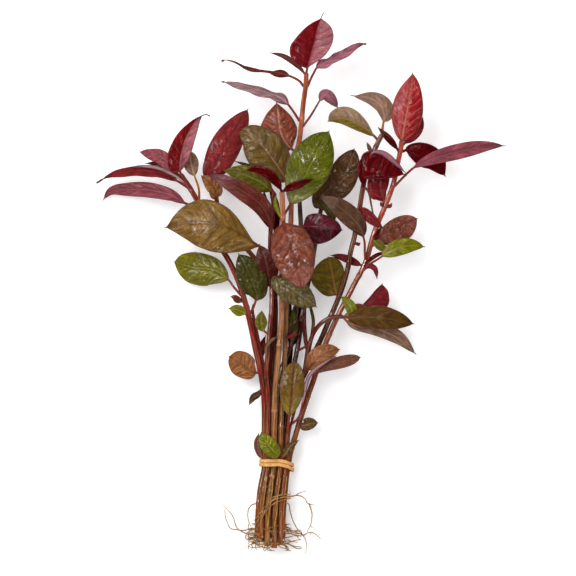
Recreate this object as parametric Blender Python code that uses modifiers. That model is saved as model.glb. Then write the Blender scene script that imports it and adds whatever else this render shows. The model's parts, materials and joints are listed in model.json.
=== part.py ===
"""A bunch of ludwigia: ten leafy stems tied with a rubber band just above their roots, lying on a surface.

Run with: blender --background --python part.py
The object is in metres with +Z up. The bunch lies along Y, with its shoots towards +Y and its roots
towards -Y, and the surface it lies on is z = 0. The tables are in millimetres in a plan of the lying
bunch, whose own zero is PLAN_CENTRE. Points on a route are x, y in that plan and the height z.
"""

import math
from dataclasses import dataclass

import bmesh
import bpy
import numpy as np
from mathutils import Vector

MM = 0.001
PLAN_CENTRE = Vector((6.0, 1.5, 0.0))
COLLECTION_NAME = "ludwigia"

GAP = 0.3
STEM_POINTS = 15
STEM_SIDES_SETTING = 1
ROOT_POINTS = 9

LEAF_THICKNESS = 0.6
LEAF_STEPS_ALONG = 7
LEAF_STEPS_ACROSS = 4
STALK_HALF_WIDTH = 0.6
TIP_HALF_WIDTH = 0.25

BAND_Y = -79.1
BAND_GAP = 0.5
BAND_WIDTH = 3.2
BAND_THICKNESS = 1.1
BAND_STEPS = 40

BUNDLE_CENTRE_X = -5.0
BUNDLE_SPREAD = 1.07
BUNDLE_LEAN = {-114.0: -3.0, -104.0: -2.8, -92.0: -1.9, BAND_Y: 0.0}

MAROON = (0.16, 0.025, 0.02)
TAN = (0.42, 0.2, 0.08)
BROWN = (0.15, 0.05, 0.02)
ORANGE_BROWN = (0.35, 0.12, 0.04)
OLIVE = (0.15, 0.12, 0.02)
GREEN = (0.12, 0.2, 0.015)
CRIMSON = (0.3, 0.015, 0.03)
MAUVE = (0.35, 0.13, 0.17)
RED_BROWN = (0.3, 0.09, 0.05)
ROOT_TAN = (0.32, 0.18, 0.06)
RUBBER_OCHRE = (0.6, 0.3, 0.09)


@dataclass(frozen=True)
class Stem:
    """A round stem: its place among the others under the band, then its own route above it."""

    name: str
    diameter: float
    slot: tuple
    route: tuple
    colour: tuple = BROWN


@dataclass(frozen=True)
class Leaf:
    """A stalk and blade on a route from a node of a stem to the tip.

    left and right are the half widths of the blade, seen from above and looking to the tip. fold is
    the angle in degrees at which each half leaves the midrib, curl the angle it bends by on its way
    to the margin, and roll the turn of the whole blade about the midrib. peak is where the blade is
    widest and point how pointed its ends are, from 0.5 for round to 1 for a wedge. peak_right and
    point_right are those of the right half where it differs.
    """

    name: str
    stem: str
    node_y: float
    route: tuple
    left: float
    right: float
    stalk: float = 0.08
    tail: float = 0.03
    fold: float = 0.0
    curl: float = -12.0
    roll: float = 0.0
    peak: float = 0.45
    peak_right: float = 0.0
    point: float = 0.8
    point_right: float = 0.0
    colour: tuple = OLIVE


@dataclass(frozen=True)
class Root:
    """A rootlet's route, or the band of roots over the cut ends."""

    name: str
    diameter: float
    route: tuple


STEMS = (
    Stem("stem_left", 2.8, (-10.3, 5.4), (
        (-10.6, -66, 6.2), (-10.8, -50, 7), (-12.4, -38, 8), (-14.6, -28, 9), (-16.6, -18, 10),
        (-18.4, -10, 10.6), (-20.4, -3, 11), (-22.8, 4, 11), (-26, 11, 11), (-30, 18, 11),
        (-35, 28, 11.3), (-40.2, 38, 12), (-44.5, 45.5, 14), (-48.3, 51, 16),
    ), MAROON),
    Stem("stem_left_back", 2.4, (-7.6, 5.4), (
        (-7.8, -66, 5.4), (-7.4, -50, 5.2), (-7, -38, 5), (-6.2, -26, 5), (-5.6, -14, 5.2),
        (-6, -3, 5.6), (-8.5, 5, 6), (-13, 11, 6.3), (-19, 18, 6.8), (-25, 25, 7.5),
        (-30, 33, 8.8), (-32.3, 40, 10.2), (-32.6, 47, 12),
    ), ORANGE_BROWN),
    Stem("stem_inner_left", 2.4, (-8.95, 8.0), (
        (-9.2, -66, 9.2), (-8.9, -50, 10), (-9.6, -38, 10.8), (-9, -28, 11), (-8.2, -18, 11),
        (-7.4, -8, 11), (-7.4, 4, 10.6), (-8, 16, 11), (-7.8, 26, 12), (-6.8, 36, 12.5),
        (-6.3, 43, 13),
    ), MAROON),
    Stem("stem_front", 2.8, (-6.3, 8.0), (
        (-6.2, -66, 9.8), (-5.9, -50, 11.5), (-5, -38, 12.5), (-3.9, -26, 13), (-3, -15, 13.3),
        (-2.7, -6, 13.8), (-2.8, 2, 15.6), (-2.7, 10, 18.5), (-2.5, 20, 23), (-2.3, 30, 27),
        (-2.4, 37, 28.5), (-2.7, 43, 29.5),
    ), TAN),
    Stem("stem_top", 2.6, (-3.3, 8.0), (
        (-3.2, -66, 8.8), (-2.6, -50, 8.6), (-1.8, -38, 8.8), (-1.2, -26, 9), (-0.9, -12, 9.4),
        (-0.2, 2, 9.8), (0.6, 15, 10.3), (1.2, 27, 10.8), (1.5, 38, 11.5), (1.8, 48, 12.5),
        (3, 58, 14), (5, 66, 15.2), (6, 74, 16.5), (7, 84, 18.5), (8, 91, 20), (8.2, 96.5, 21),
    ), ORANGE_BROWN),
    Stem("stem_inner_right", 2.4, (-5.05, 5.4), (
        (-4.7, -66, 5.8), (-4.2, -50, 5.4), (-3.2, -38, 5.2), (-1, -32, 5.4), (1.5, -26, 6),
        (3, -18, 6.6), (4, -6, 7.2), (5, 6, 7.8), (5.8, 18, 8.6), (5.8, 28, 9.4), (5.4, 36, 10),
        (5, 44, 10.5),
    ), MAROON),
    Stem("stem_middle_right", 2.4, (-2.5, 5.4), (
        (-1.6, -66, 5.7), (-0.5, -56, 5.6), (0.8, -46, 5.4), (2.2, -38, 5.4), (3.7, -30, 5.4),
        (5.2, -22, 5.6), (6.4, -12, 6), (8.2, -2, 6.2), (10.4, 8, 6.3), (12, 18, 7),
        (13.6, 28, 9), (15, 36, 11.5), (16.5, 41, 13),
    ), BROWN),
    Stem("stem_low_right", 2.3, (-0.75, 8.0), (
        (0, -66, 8.8), (2.4, -56, 8.8), (5, -46, 9.2), (7.4, -38, 9.8), (8.6, -30, 10.6),
        (9.8, -25, 11.4), (11.8, -19.8, 13), (15, -15.8, 14.8), (19, -13.4, 16), (22, -12.9, 16.3),
        (24.6, -12.9, 16.2),
    ), MAROON),
    Stem("stem_right", 2.6, (-3.7, 3.0), (
        (-2.6, -66, 2.8), (0.5, -56, 2.6), (4.2, -46, 2.8), (8, -38, 4), (11.6, -30, 6),
        (15, -23, 8), (18.4, -15, 9.4), (21.8, -7, 10.6), (24.8, 1, 11.8), (27, 9, 12.8),
        (28.2, 16, 13.4), (30.2, 24, 14), (32, 34, 15), (33.4, 43, 16), (35.2, 52, 17),
        (38, 60, 18), (40.5, 65.5, 18.5), (42.3, 69, 19),
    ), BROWN),
    Stem("stem_right_tall", 2.6, (0.15, 5.4), (
        (3, -68, 5.7), (6, -58, 6.6), (8.6, -50, 7.2), (11.4, -42, 8), (14, -34, 9.2),
        (17, -25, 11), (20.2, -17.5, 12.3), (23.5, -10.5, 13), (27, -4, 13.6), (30.3, 2.5, 14.2),
        (33.8, 9, 14.8), (36, 14.5, 15.3), (37.6, 21, 15.8), (40, 28, 16.4), (43, 35, 17.4),
        (46, 42.5, 18.4), (48, 49, 19.2), (49.6, 57, 20), (50.8, 63, 20.8), (51, 66, 21.2),
    ), ORANGE_BROWN),
)

LEAVES = (
    Leaf("leaf_top_large", "stem_top", 96.5,
         ((9.2, 101, 22), (11.3, 108, 24), (13, 116, 25.5), (14.7, 121, 25), (16.2, 124, 24)),
         10.5, 8.5, stalk=0.1, tail=0.12, fold=22, peak=0.34, peak_right=0.66, colour=CRIMSON),
    Leaf("leaf_top_right", "stem_top", 90.5,
         ((11.3, 96.2, 20.5), (14, 100, 21), (21.5, 103.9, 20), (27.5, 107.6, 17), (32.3, 110.2, 14),
          (35.6, 110, 12)), 4.6, 4.6, stalk=0.26, roll=62, colour=MAUVE),
    Leaf("leaf_top_left", "stem_top", 90.5,
         ((4.5, 93.6, 20), (-2, 96.3, 20), (-10, 97.7, 18), (-18, 99.3, 15), (-24, 102, 12),
          (-28, 103, 10), (-30.3, 102.4, 9)), 4, 4, stalk=0.2, roll=-78, colour=MAROON),
    Leaf("leaf_upper_left", "stem_top", 74.5,
         ((2.6, 79.2, 17.5), (-1, 83.8, 18.5), (-5, 86.3, 18.5), (-14, 89.3, 16), (-23, 91.9, 13),
          (-30.2, 93.3, 10)), 4.6, 4.6, stalk=0.22, roll=-62, colour=MAUVE),
    Leaf("leaf_upper_right", "stem_top", 72.5,
         ((10.5, 78, 18), (14.3, 84.3, 20.5), (16.5, 87, 20.5), (19.5, 85, 18), (22.8, 80.8, 14.5)),
         2.8, 2.5, stalk=0.5, colour=MAUVE),
    Leaf("leaf_brown_back", "stem_top", 61.0,
         ((-0.5, 65, 14.6), (-3.2, 70, 14.2), (-4.4, 77, 13.5), (-5.2, 84.2, 12.5)),
         9.5, 8, fold=-8, peak=0.42, colour=RED_BROWN),
    Leaf("leaf_olive_back", "stem_top", 47.0,
         ((-1.5, 50, 16.5), (-5.5, 56, 18.6), (-11, 63.5, 19), (-17, 68.5, 18.2), (-22.8, 70.5, 16.8)),
         10, 8.6, peak=0.5, point=0.65),
    Leaf("leaf_green", "stem_front", 33.0,
         ((1, 37.5, 26.5), (5, 45, 27.5), (10.5, 56, 26.5), (15, 65, 23.5), (18.8, 71.2, 20)),
         10, 9.7, stalk=0.12, peak=0.52, colour=GREEN),
    Leaf("leaf_crimson_left", "stem_left_back", 47.0,
         ((-34, 51.5, 13), (-31.5, 57, 14), (-26.3, 67, 15), (-21.6, 74.6, 14), (-17.8, 81.2, 12.5)),
         7.2, 6.8, stalk=0.03, fold=-4, point=0.62, colour=CRIMSON),
    Leaf("leaf_left_folded", "stem_left", 51.0,
         ((-48.8, 54.5, 18.5), (-48, 60, 20.5), (-45.8, 67.5, 22.5), (-41.5, 75, 22), (-37.5, 78, 20.5),
          (-34.8, 77.2, 19.5)), 6.4, 4.6, tail=0.12, fold=25, peak=0.24, peak_right=0.45, colour=CRIMSON),
    Leaf("leaf_left_rose", "stem_left", 49.0,
         ((-52.5, 54.5, 16.5), (-57, 59, 15.5), (-62.5, 60.6, 13.5), (-67.3, 61.5, 10.5)),
         3.5, 3.2, stalk=0.16, point=0.65, colour=MAUVE),
    Leaf("leaf_left_long", "stem_left", 45.5,
         ((-49.5, 48, 14.5), (-56, 51.3, 15.5), (-66, 52.6, 13.5), (-76, 51.8, 9.5), (-82, 50.2, 6.5),
          (-87, 47.3, 3.5)), 3.4, 3.4, stalk=0.12, tail=0.08, roll=-40, fold=12, colour=CRIMSON),
    Leaf("leaf_left_lower", "stem_left", 36.5,
         ((-46.5, 38.3, 12.5), (-53, 42, 12.5), (-63, 44.3, 10), (-73, 44.6, 6.5), (-80, 44, 3.5),
          (-84.4, 39.4, 0.5)), 3.5, 3.5, stalk=0.14, fold=10, point=0.65, colour=MAUVE),
    Leaf("leaf_left_round", "stem_left", 39.0,
         ((-40.3, 45, 15), (-42.3, 51, 16), (-43.8, 56.5, 15.5), (-44, 62, 12.5)),
         3.5, 3.5, stalk=0.5, peak=0.55, point=0.55, colour=OLIVE),
    Leaf("leaf_olive_large", "stem_inner_left", 16.0,
         ((-14, 19.5, 17.5), (-22, 24.8, 20), (-31, 28.4, 21), (-42, 29.4, 19), (-50, 28.8, 16),
          (-56.5, 27, 13)), 12.6, 10.8, stalk=0.14, peak=0.45, peak_right=0.6, point=0.85,
         point_right=1.7),
    Leaf("leaf_green_back", "stem_inner_left", 43.0,
         ((-9.5, 45.5, 15), (-15, 49, 16.5), (-22, 51.8, 17), (-29.3, 53, 16)),
         5, 4.8, colour=GREEN),
    Leaf("leaf_mauve_long", "stem_inner_left", 24.0,
         ((-7.8, 28.5, 17), (-12, 37, 21.5), (-20, 43.3, 22), (-29, 48.3, 21), (-37.3, 51.4, 19)),
         4.4, 4.4, fold=18, point=0.75, colour=MAUVE),
    Leaf("leaf_dark_left", "stem_front", 43.0,
         ((-5, 47.3, 31), (-9, 51, 31.5), (-14, 53.2, 30), (-19.2, 52.6, 27.5)),
         2.6, 2.6, fold=25, colour=CRIMSON),
    Leaf("leaf_dark_right", "stem_front", 43.0,
         ((0.3, 45, 31), (4, 46.4, 32.5), (8, 47.8, 33), (11.7, 48.7, 33)),
         1.7, 2.3, fold=20, colour=CRIMSON),
    Leaf("leaf_brown_front", "stem_front", 30.0,
         ((-1.2, 26, 32.5), (0.8, 21, 34), (3.2, 13, 34.5), (5.2, 5, 32), (6.2, -0.8, 28.5)),
         9.7, 9.7, stalk=0.06, point=0.68, colour=RED_BROWN),
    Leaf("leaf_bronze", "stem_middle_right", 41.0,
         ((20, 43.5, 14.2), (24.5, 49, 15.5), (28, 57, 15.5), (30, 63.2, 14)),
         7, 6.4, stalk=0.04, peak=0.5, peak_right=0.4, point=0.62, point_right=0.5, colour=BROWN),
    Leaf("leaf_grey_right", "stem_right", 69.0,
         ((42.7, 73, 20), (43.2, 77.5, 21.5), (41.6, 82, 22.5), (36.5, 85.4, 21.5), (28, 86.7, 19)),
         3, 5, stalk=0.22, tail=0.05, peak_right=0.3, point_right=0.95, colour=OLIVE),
    Leaf("leaf_olive_right", "stem_right", 66.5,
         ((37.5, 69.6, 20), (33, 72.8, 21), (26, 76, 20), (21, 76.2, 18.5), (17.6, 74.8, 17)),
         3, 5.6, fold=10, peak=0.5, peak_right=0.64, point=0.7, point_right=1.1),
    Leaf("leaf_red_tall", "stem_right_tall", 66.0,
         ((51.6, 69.5, 22.5), (52.8, 76, 24.5), (54.3, 85, 25.5), (55.6, 92, 24.5), (55.9, 97, 22.5)),
         7, 7.6, stalk=0.02, fold=-8, peak=0.46, peak_right=0.4, point_right=0.62, colour=CRIMSON),
    Leaf("leaf_maroon_right", "stem_right_tall", 61.5,
         ((54.5, 62.3, 19), (60, 61, 18.5), (66.5, 57.5, 15), (71.2, 50.3, 9.5)),
         5.2, 6.2, fold=-8, point=0.72, colour=MAROON),
    Leaf("leaf_pink_long", "stem_right_tall", 45.5,
         ((52, 50, 21), (57.5, 54.7, 22), (66, 58.5, 22), (78, 61.8, 17), (90, 64.2, 8),
          (99.2, 64.5, 0.6)), 3.6, 3.6, stalk=0.2, fold=15, colour=MAUVE),
    Leaf("leaf_hood", "stem_right", 49.5,
         ((34.4, 49.7, 21.6), (37.8, 50.5, 22.8), (42, 50.3, 23.6), (47, 50.4, 23.8),
          (52.8, 51.2, 23)), 11.5, 1.4, stalk=0.19, peak=0.25, point=0.5, colour=MAROON),
    Leaf("leaf_crimson_right", "stem_right_tall", 37.0,
         ((42.8, 40.5, 18.8), (41.6, 44, 19), (41.4, 50, 19), (41.6, 57, 18.8)),
         5.8, 4.4, stalk=0.1, peak=0.42, peak_right=0.64, point=0.7, colour=CRIMSON),
    Leaf("leaf_brown_long", "stem_right_tall", 12.5,
         ((34.6, 16.5, 18), (34.2, 22, 19.5), (31.5, 28.5, 21.5), (25, 35, 22), (18.5, 39.3, 21.5),
          (12.8, 41.6, 20)), 4.8, 4.6, stalk=0.28, peak=0.42, colour=BROWN),
    Leaf("leaf_crimson_middle", "stem_right", 37.0,
         ((33.4, 35.3, 18.7), (36, 32.6, 20.5), (39.6, 29.4, 20.8), (43, 26.6, 20)),
         2.4, 2.6, fold=10, colour=CRIMSON),
    Leaf("leaf_purple", "stem_inner_right", 28.0,
         ((9.5, 27.8, 14), (15, 27.6, 15.2), (20.5, 27, 15), (24.8, 26, 13.5)),
         6, 8, fold=8, peak=0.38, point=0.56, colour=CRIMSON),
    Leaf("leaf_redbrown_right", "stem_right_tall", 19.0,
         ((42, 22.5, 17), (48, 26.5, 17.5), (54, 29.5, 15.5), (58.6, 31.5, 13)),
         4.5, 7, stalk=0.1, peak=0.55, point=0.62, colour=RED_BROWN),
    Leaf("leaf_yellow_green", "stem_right_tall", 9.5,
         ((40.5, 13, 19.5), (44.5, 15.8, 21.5), (50, 18.3, 22.5), (56, 19.2, 21), (61.8, 18.5, 18.5)),
         3.8, 3.8, stalk=0.33, point=0.72, colour=GREEN),
    Leaf("leaf_crimson_low", "stem_right_tall", -7.0,
         ((30.5, -9.3, 12), (37, -6, 12), (41, -1, 11.5), (42.7, 2.2, 11)),
         1.6, 7.5, stalk=0.36, peak=0.5, point=0.65, colour=CRIMSON),
    Leaf("leaf_olive_low", "stem_low_right", -12.9,
         ((28, -13.3, 17.2), (34, -13.2, 17.8), (42, -13.5, 17.3), (50, -14.8, 15), (57.3, -16.3, 12)),
         5.6, 5.3, point=0.68),
    Leaf("leaf_low_under", "stem_low_right", -12.9,
         ((29, -16.5, 14), (40, -18.5, 12), (50, -23, 7), (58.3, -30.3, 0.6)),
         4.2, 3.2, point=0.75),
    Leaf("leaf_green_middle", "stem_right", -4.0,
         ((21.4, -1, 10), (20.7, 3, 10.2), (19.6, 8.5, 10), (18, 14.4, 9.4)),
         10, 5.6, stalk=0.05, peak=0.5, peak_right=0.6, point=0.55, colour=GREEN),
    Leaf("leaf_pale_middle", "stem_front", 6.5,
         ((-4.5, 3.6, 20), (1, 0, 20.6), (7.5, -4.6, 19.4), (13.2, -8.8, 17.4)),
         6.3, 6.3, peak=0.42, point=0.66, colour=GREEN),
    Leaf("leaf_green_left", "stem_left", -12.0,
         ((-15.3, -8, 12.6), (-14.2, -3, 13.6), (-16, 2, 14.4), (-19, 9, 15), (-22.5, 15.8, 14)),
         6, 7.4, stalk=0.24, point=0.66, colour=GREEN),
    Leaf("leaf_green_far", "stem_left", -3.5,
         ((-24.5, 0.5, 11), (-28, 4.8, 9.8), (-34, 8.3, 8.5), (-43, 9.3, 6), (-52.2, 12, 0.9)),
         8, 7.2, stalk=0.25, peak=0.48, peak_right=0.62, point=0.66, colour=GREEN),
    Leaf("leaf_orange_left", "stem_left", -38.0,
         ((-16.8, -37.6, 8.4), (-20.2, -35, 7.6), (-23.5, -32.8, 5.5), (-26.8, -31, 3)),
         5.8, 5.8, stalk=0.08, peak=0.52, point=0.5, colour=RED_BROWN),
    Leaf("leaf_olive_front", "stem_low_right", -66.0,
         ((0.3, -61, 12.3), (0.8, -56, 13.2), (1.8, -47, 14.6), (2.6, -39, 14.8), (3.2, -32.2, 13.6)),
         5.8, 5.4, stalk=0.27, peak=0.55, point=0.62),
    Leaf("leaf_orange_right", "stem_low_right", -38.0,
         ((10.5, -35.5, 13.2), (14, -31.5, 15), (18.5, -29, 15.2), (23.7, -27.6, 13.5)),
         5, 4, stalk=0.12, point=0.65, colour=ORANGE_BROWN),
    Leaf("leaf_mauve_right", "stem_right_tall", -44.0,
         ((12.4, -39.5, 12), (16.5, -36, 13), (22, -33.8, 12), (28, -32.3, 9.5), (33.2, -31.2, 7)),
         2.6, 3.1, stalk=0.25, peak=0.6, point=0.62, colour=RED_BROWN),
    Leaf("leaf_green_band", "stem_top", -76.3,
         ((-5, -74.8, 12), (-8, -71.8, 13.4), (-10.8, -68, 13.2), (-12.2, -65, 12.2)),
         3.9, 3.7, stalk=0.06, peak=0.5, point=0.6, colour=GREEN),
)

ROOTS = (
    Root("root_left", 1.6,
         ((-17, -112, 2.6), (-22, -109.7, 1.2), (-24.5, -106, 0.8), (-26.5, -102, 0.8),
          (-29.3, -98.5, 0.8))),
    Root("root_upper", 1.4,
         ((1.9, -94.6, 6.5), (4.5, -94, 4.4), (8.5, -96.2, 2.2), (12.8, -98.6, 0.8))),
    Root("root_right", 1.6,
         ((1.4, -99.5, 4.5), (2.4, -105, 3), (5, -110, 1.6), (7.5, -113.2, 0.9), (8.3, -117, 0.8),
          (7.6, -121, 0.8))),
    Root("root_mat", 1.8,
         ((-14.5, -118.2, 0.9), (-12, -115.6, 1.4), (-7, -115.2, 2.2), (-2, -115.4, 2),
          (2.5, -114.8, 1.4), (6, -117.5, 0.9))),
)


def smooth_route(points, count):
    """Return count points, evenly spaced, on the smooth curve that passes through the given ones."""
    knots = np.array(points, dtype=float)
    ends = (2 * knots[0] - knots[1], 2 * knots[-1] - knots[-2])
    padded = np.vstack([ends[0], knots, ends[1]])
    steps = np.linspace(0.0, 1.0, 12, endpoint=False)[:, None]
    dense = []
    for before, start, end, after in zip(padded, padded[1:], padded[2:], padded[3:]):
        dense.append(0.5 * (
            2 * start
            + (end - before) * steps
            + (2 * before - 5 * start + 4 * end - after) * steps**2
            + (3 * start - before - 3 * end + after) * steps**3
        ))
    dense = np.vstack([*dense, knots[-1:]])
    lengths = np.concatenate([[0.0], np.cumsum(np.linalg.norm(np.diff(dense, axis=0), axis=1))])
    wanted = np.linspace(0.0, lengths[-1], count)
    return np.column_stack([np.interp(wanted, lengths, dense[:, axis]) for axis in range(3)])


def stem_route(stem):
    """Return a stem's whole route: through the tied bundle in its own slot, then up its own way."""
    slot_x, slot_z = stem.slot
    off_centre = slot_x - BUNDLE_CENTRE_X
    bundle = []
    for y, lean in BUNDLE_LEAN.items():
        spread = 1.0 if y == BAND_Y else BUNDLE_SPREAD
        bundle.append((BUNDLE_CENTRE_X + lean + off_centre * spread, y, slot_z))
    return (*bundle, *stem.route)


def in_world(points):
    """Turn plan millimetres into the object's metres."""
    return [(Vector(point) - PLAN_CENTRE) * MM for point in points]


def dressed(obj, colour, roughness):
    """Give an object a material of its own, in one colour."""
    material = bpy.data.materials.new(obj.name)
    material.use_nodes = True
    shader = material.node_tree.nodes["Principled BSDF"]
    shader.inputs["Base Color"].default_value = (*colour, 1.0)
    shader.inputs["Roughness"].default_value = roughness
    shader.inputs["Metallic"].default_value = 0.0
    obj.data.materials.append(material)
    return obj


def placed(name, data, collection, parent):
    """Make an object of the data in the collection, under the bunch's own empty."""
    obj = bpy.data.objects.new(name, data)
    collection.objects.link(obj)
    obj.parent = parent
    return obj


def tube(name, points, diameter):
    """Make a round tube with closed ends along the points."""
    curve = bpy.data.curves.new(name, "CURVE")
    curve.dimensions = "3D"
    curve.bevel_depth = diameter / 2 * MM
    curve.bevel_resolution = STEM_SIDES_SETTING
    curve.use_fill_caps = True
    spline = curve.splines.new("POLY")
    spline.points.add(len(points) - 1)
    for spline_point, point in zip(spline.points, in_world(points)):
        spline_point.co = (*point, 1.0)
    return curve


def blade_profile(along, peak, point):
    """Return the share of its full width that a blade has at a place along it, from 0 to 1."""
    if not 0.0 < along < 1.0:
        return 0.0
    base_power = 2 * point * peak
    tip_power = 2 * point * (1 - peak)
    return (along / peak) ** base_power * ((1 - along) / (1 - peak)) ** tip_power


def leaf_route(leaf, stem):
    """Return a leaf's route, starting just clear of its stem, on the side that faces the leaf."""
    dense = smooth_route(stem_route(stem), 200)
    index = int(np.argmin(np.abs(dense[:, 1] - leaf.node_y)))
    centre = dense[index]
    towards = np.array(leaf.route[0]) - centre
    if index < len(dense) - 2:
        axis = dense[index + 1] - dense[index - 1]
        axis /= np.linalg.norm(axis)
        towards -= axis * towards.dot(axis)
    towards /= np.linalg.norm(towards)
    clear = stem.diameter / 2 + GAP + LEAF_THICKNESS
    return (tuple(centre + towards * clear), *leaf.route)


def across_section(distance, fold, curl):
    """Return how far sideways and up a blade reaches at a distance from its midrib, for width 1."""
    start = math.radians(fold)
    bend = math.radians(curl) * distance
    if abs(bend) < 1e-6:
        return distance * math.cos(start), distance * math.sin(start)
    sideways = (math.sin(start + bend) - math.sin(start)) / bend * distance
    upwards = (math.cos(start) - math.cos(start + bend)) / bend * distance
    return sideways, upwards


def leaf_surface(leaf, midrib, along, across):
    """Return the point of the blade's middle surface at along (0 to 1) and across (-1 to 1)."""
    place = along * (len(midrib) - 1)
    index = min(int(place), len(midrib) - 2)
    centre = midrib[index].lerp(midrib[index + 1], place - index)
    tangent = midrib[min(index + 2, len(midrib) - 1)] - midrib[max(index - 1, 0)]
    tangent.normalize()
    side = tangent.cross(Vector((0.0, 0.0, 1.0))).normalized()
    up = side.cross(tangent)
    blade = (along - leaf.stalk) / (1 - leaf.stalk - leaf.tail)
    roll = math.radians(leaf.roll) * min(1.0, max(0.0, blade * 4))
    side, up = (side * math.cos(roll) + up * math.sin(roll), up * math.cos(roll) - side * math.sin(roll))
    full = leaf.right if across > 0 else leaf.left
    thin = STALK_HALF_WIDTH + (TIP_HALF_WIDTH - STALK_HALF_WIDTH) * along
    peak = leaf.peak_right if across > 0 and leaf.peak_right else leaf.peak
    point = leaf.point_right if across > 0 and leaf.point_right else leaf.point
    width = max(full * blade_profile(blade, peak, point), thin)
    sideways, upwards = across_section(abs(across), leaf.fold, leaf.curl)
    return centre + side * math.copysign(width * sideways, across) + up * width * upwards


def leaf_sheet(leaf, stem):
    """Bend a flat grid into the leaf's middle surface."""
    midrib = [Vector(point) for point in smooth_route(leaf_route(leaf, stem), 60)]
    mesh = bpy.data.meshes.new(leaf.name)
    grid = bmesh.new()
    bmesh.ops.create_grid(grid, x_segments=LEAF_STEPS_ALONG, y_segments=LEAF_STEPS_ACROSS, size=1.0)
    for vertex in grid.verts:
        along = (vertex.co.x + 1) / 2
        across = -vertex.co.y
        vertex.co = (leaf_surface(leaf, midrib, along, across) - PLAN_CENTRE) * MM
    grid.to_mesh(mesh)
    grid.free()
    mesh.shade_smooth()
    return mesh


def band_outline():
    """Return the stretched band's inner outline round the stems, as x, z, in the plane of the band.

    A stretched band touches the stem that is furthest out in each direction, and runs straight from
    one such stem to the next.
    """
    outline = []
    for step in range(BAND_STEPS):
        angle = 2 * math.pi * step / BAND_STEPS
        outward = Vector((math.cos(angle), math.sin(angle)))
        furthest = max(STEMS, key=lambda stem: Vector(stem.slot).dot(outward) + stem.diameter / 2)
        outline.append(Vector(furthest.slot) + outward * (furthest.diameter / 2 + BAND_GAP))
    return outline


def band_mesh():
    """Make the band's inner wall, an open loop as wide as the band; Solidify gives its thickness."""
    mesh = bpy.data.meshes.new("rubber_band")
    wall = bmesh.new()
    bmesh.ops.create_circle(wall, cap_ends=False, segments=BAND_STEPS, radius=1.0)
    wall.verts.ensure_lookup_table()
    for vertex, (x, z) in zip(wall.verts, band_outline()):
        vertex.co = Vector((x, BAND_Y - BAND_WIDTH / 2, z))
    made = bmesh.ops.extrude_edge_only(wall, edges=wall.edges[:])
    moved = [item for item in made["geom"] if isinstance(item, bmesh.types.BMVert)]
    bmesh.ops.translate(wall, verts=moved, vec=(0.0, BAND_WIDTH, 0.0))
    for vertex in wall.verts:
        vertex.co = (vertex.co - PLAN_CENTRE) * MM
    bmesh.ops.recalc_face_normals(wall, faces=wall.faces)
    wall.to_mesh(mesh)
    wall.free()
    mesh.shade_smooth()
    return mesh


def thickened(obj, thickness, offset):
    """Give an open surface a wall: offset 0 on both sides, 1 on its outer side."""
    wall = obj.modifiers.new("wall", "SOLIDIFY")
    wall.thickness = thickness * MM
    wall.offset = offset
    return obj


def main():
    for obj in list(bpy.data.objects):
        bpy.data.objects.remove(obj, do_unlink=True)
    collection = bpy.data.collections.new(COLLECTION_NAME)
    bpy.context.scene.collection.children.link(collection)
    bunch = bpy.data.objects.new("bunch", None)
    collection.objects.link(bunch)

    stems = {stem.name: stem for stem in STEMS}
    for stem in STEMS:
        route = smooth_route(stem_route(stem), STEM_POINTS)
        obj = placed(stem.name, tube(stem.name, route, stem.diameter), collection, bunch)
        dressed(obj, stem.colour, 0.4)
    for leaf in LEAVES:
        obj = placed(leaf.name, leaf_sheet(leaf, stems[leaf.stem]), collection, bunch)
        thickened(obj, LEAF_THICKNESS, 0.0)
        dressed(obj, leaf.colour, 0.3)
    for root in ROOTS:
        route = smooth_route(root.route, ROOT_POINTS)
        obj = placed(root.name, tube(root.name, route, root.diameter), collection, bunch)
        dressed(obj, ROOT_TAN, 0.7)
    band = placed("rubber_band", band_mesh(), collection, bunch)
    thickened(band, BAND_THICKNESS, 1.0)
    dressed(band, RUBBER_OCHRE, 0.55)


main()
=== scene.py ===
"""The looks of a bunch of ludwigia, tied with a rubber band and lying on a pale surface.

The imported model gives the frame. Every stem, leaf, root and the band is made again here round the
same routes, with its finish. The tables are in millimetres in a plan of the lying bunch, seen from
above: x to the right, y towards the shoot tips, z up from the surface. PLAN_CENTRE is the plan's
point that lies at the model's origin.
"""

import json
import logging
import math
import random
from dataclasses import dataclass, field
from enum import Enum

import bpy
import numpy as np
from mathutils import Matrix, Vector


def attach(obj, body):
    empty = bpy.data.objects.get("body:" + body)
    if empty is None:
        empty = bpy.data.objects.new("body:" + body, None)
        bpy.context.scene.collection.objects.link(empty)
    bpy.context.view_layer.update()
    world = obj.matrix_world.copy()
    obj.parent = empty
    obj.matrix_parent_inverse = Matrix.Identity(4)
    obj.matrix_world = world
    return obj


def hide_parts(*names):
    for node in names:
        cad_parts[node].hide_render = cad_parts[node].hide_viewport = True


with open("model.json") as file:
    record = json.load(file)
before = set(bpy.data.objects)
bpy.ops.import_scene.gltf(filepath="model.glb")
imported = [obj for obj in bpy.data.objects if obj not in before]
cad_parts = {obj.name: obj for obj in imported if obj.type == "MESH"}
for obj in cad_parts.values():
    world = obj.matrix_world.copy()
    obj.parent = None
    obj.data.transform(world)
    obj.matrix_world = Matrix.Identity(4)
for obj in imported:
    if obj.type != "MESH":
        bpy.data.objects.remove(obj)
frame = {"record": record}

logging.basicConfig(level=logging.INFO, format="%(message)s")
log = logging.getLogger("ludwigia")

MM = 0.001
PLAN_CENTRE = Vector((6.0, 1.5, 0.0))
BODY = "root"
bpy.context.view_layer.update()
Point = tuple[float, float, float]
Colour = tuple[float, float, float]


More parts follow.
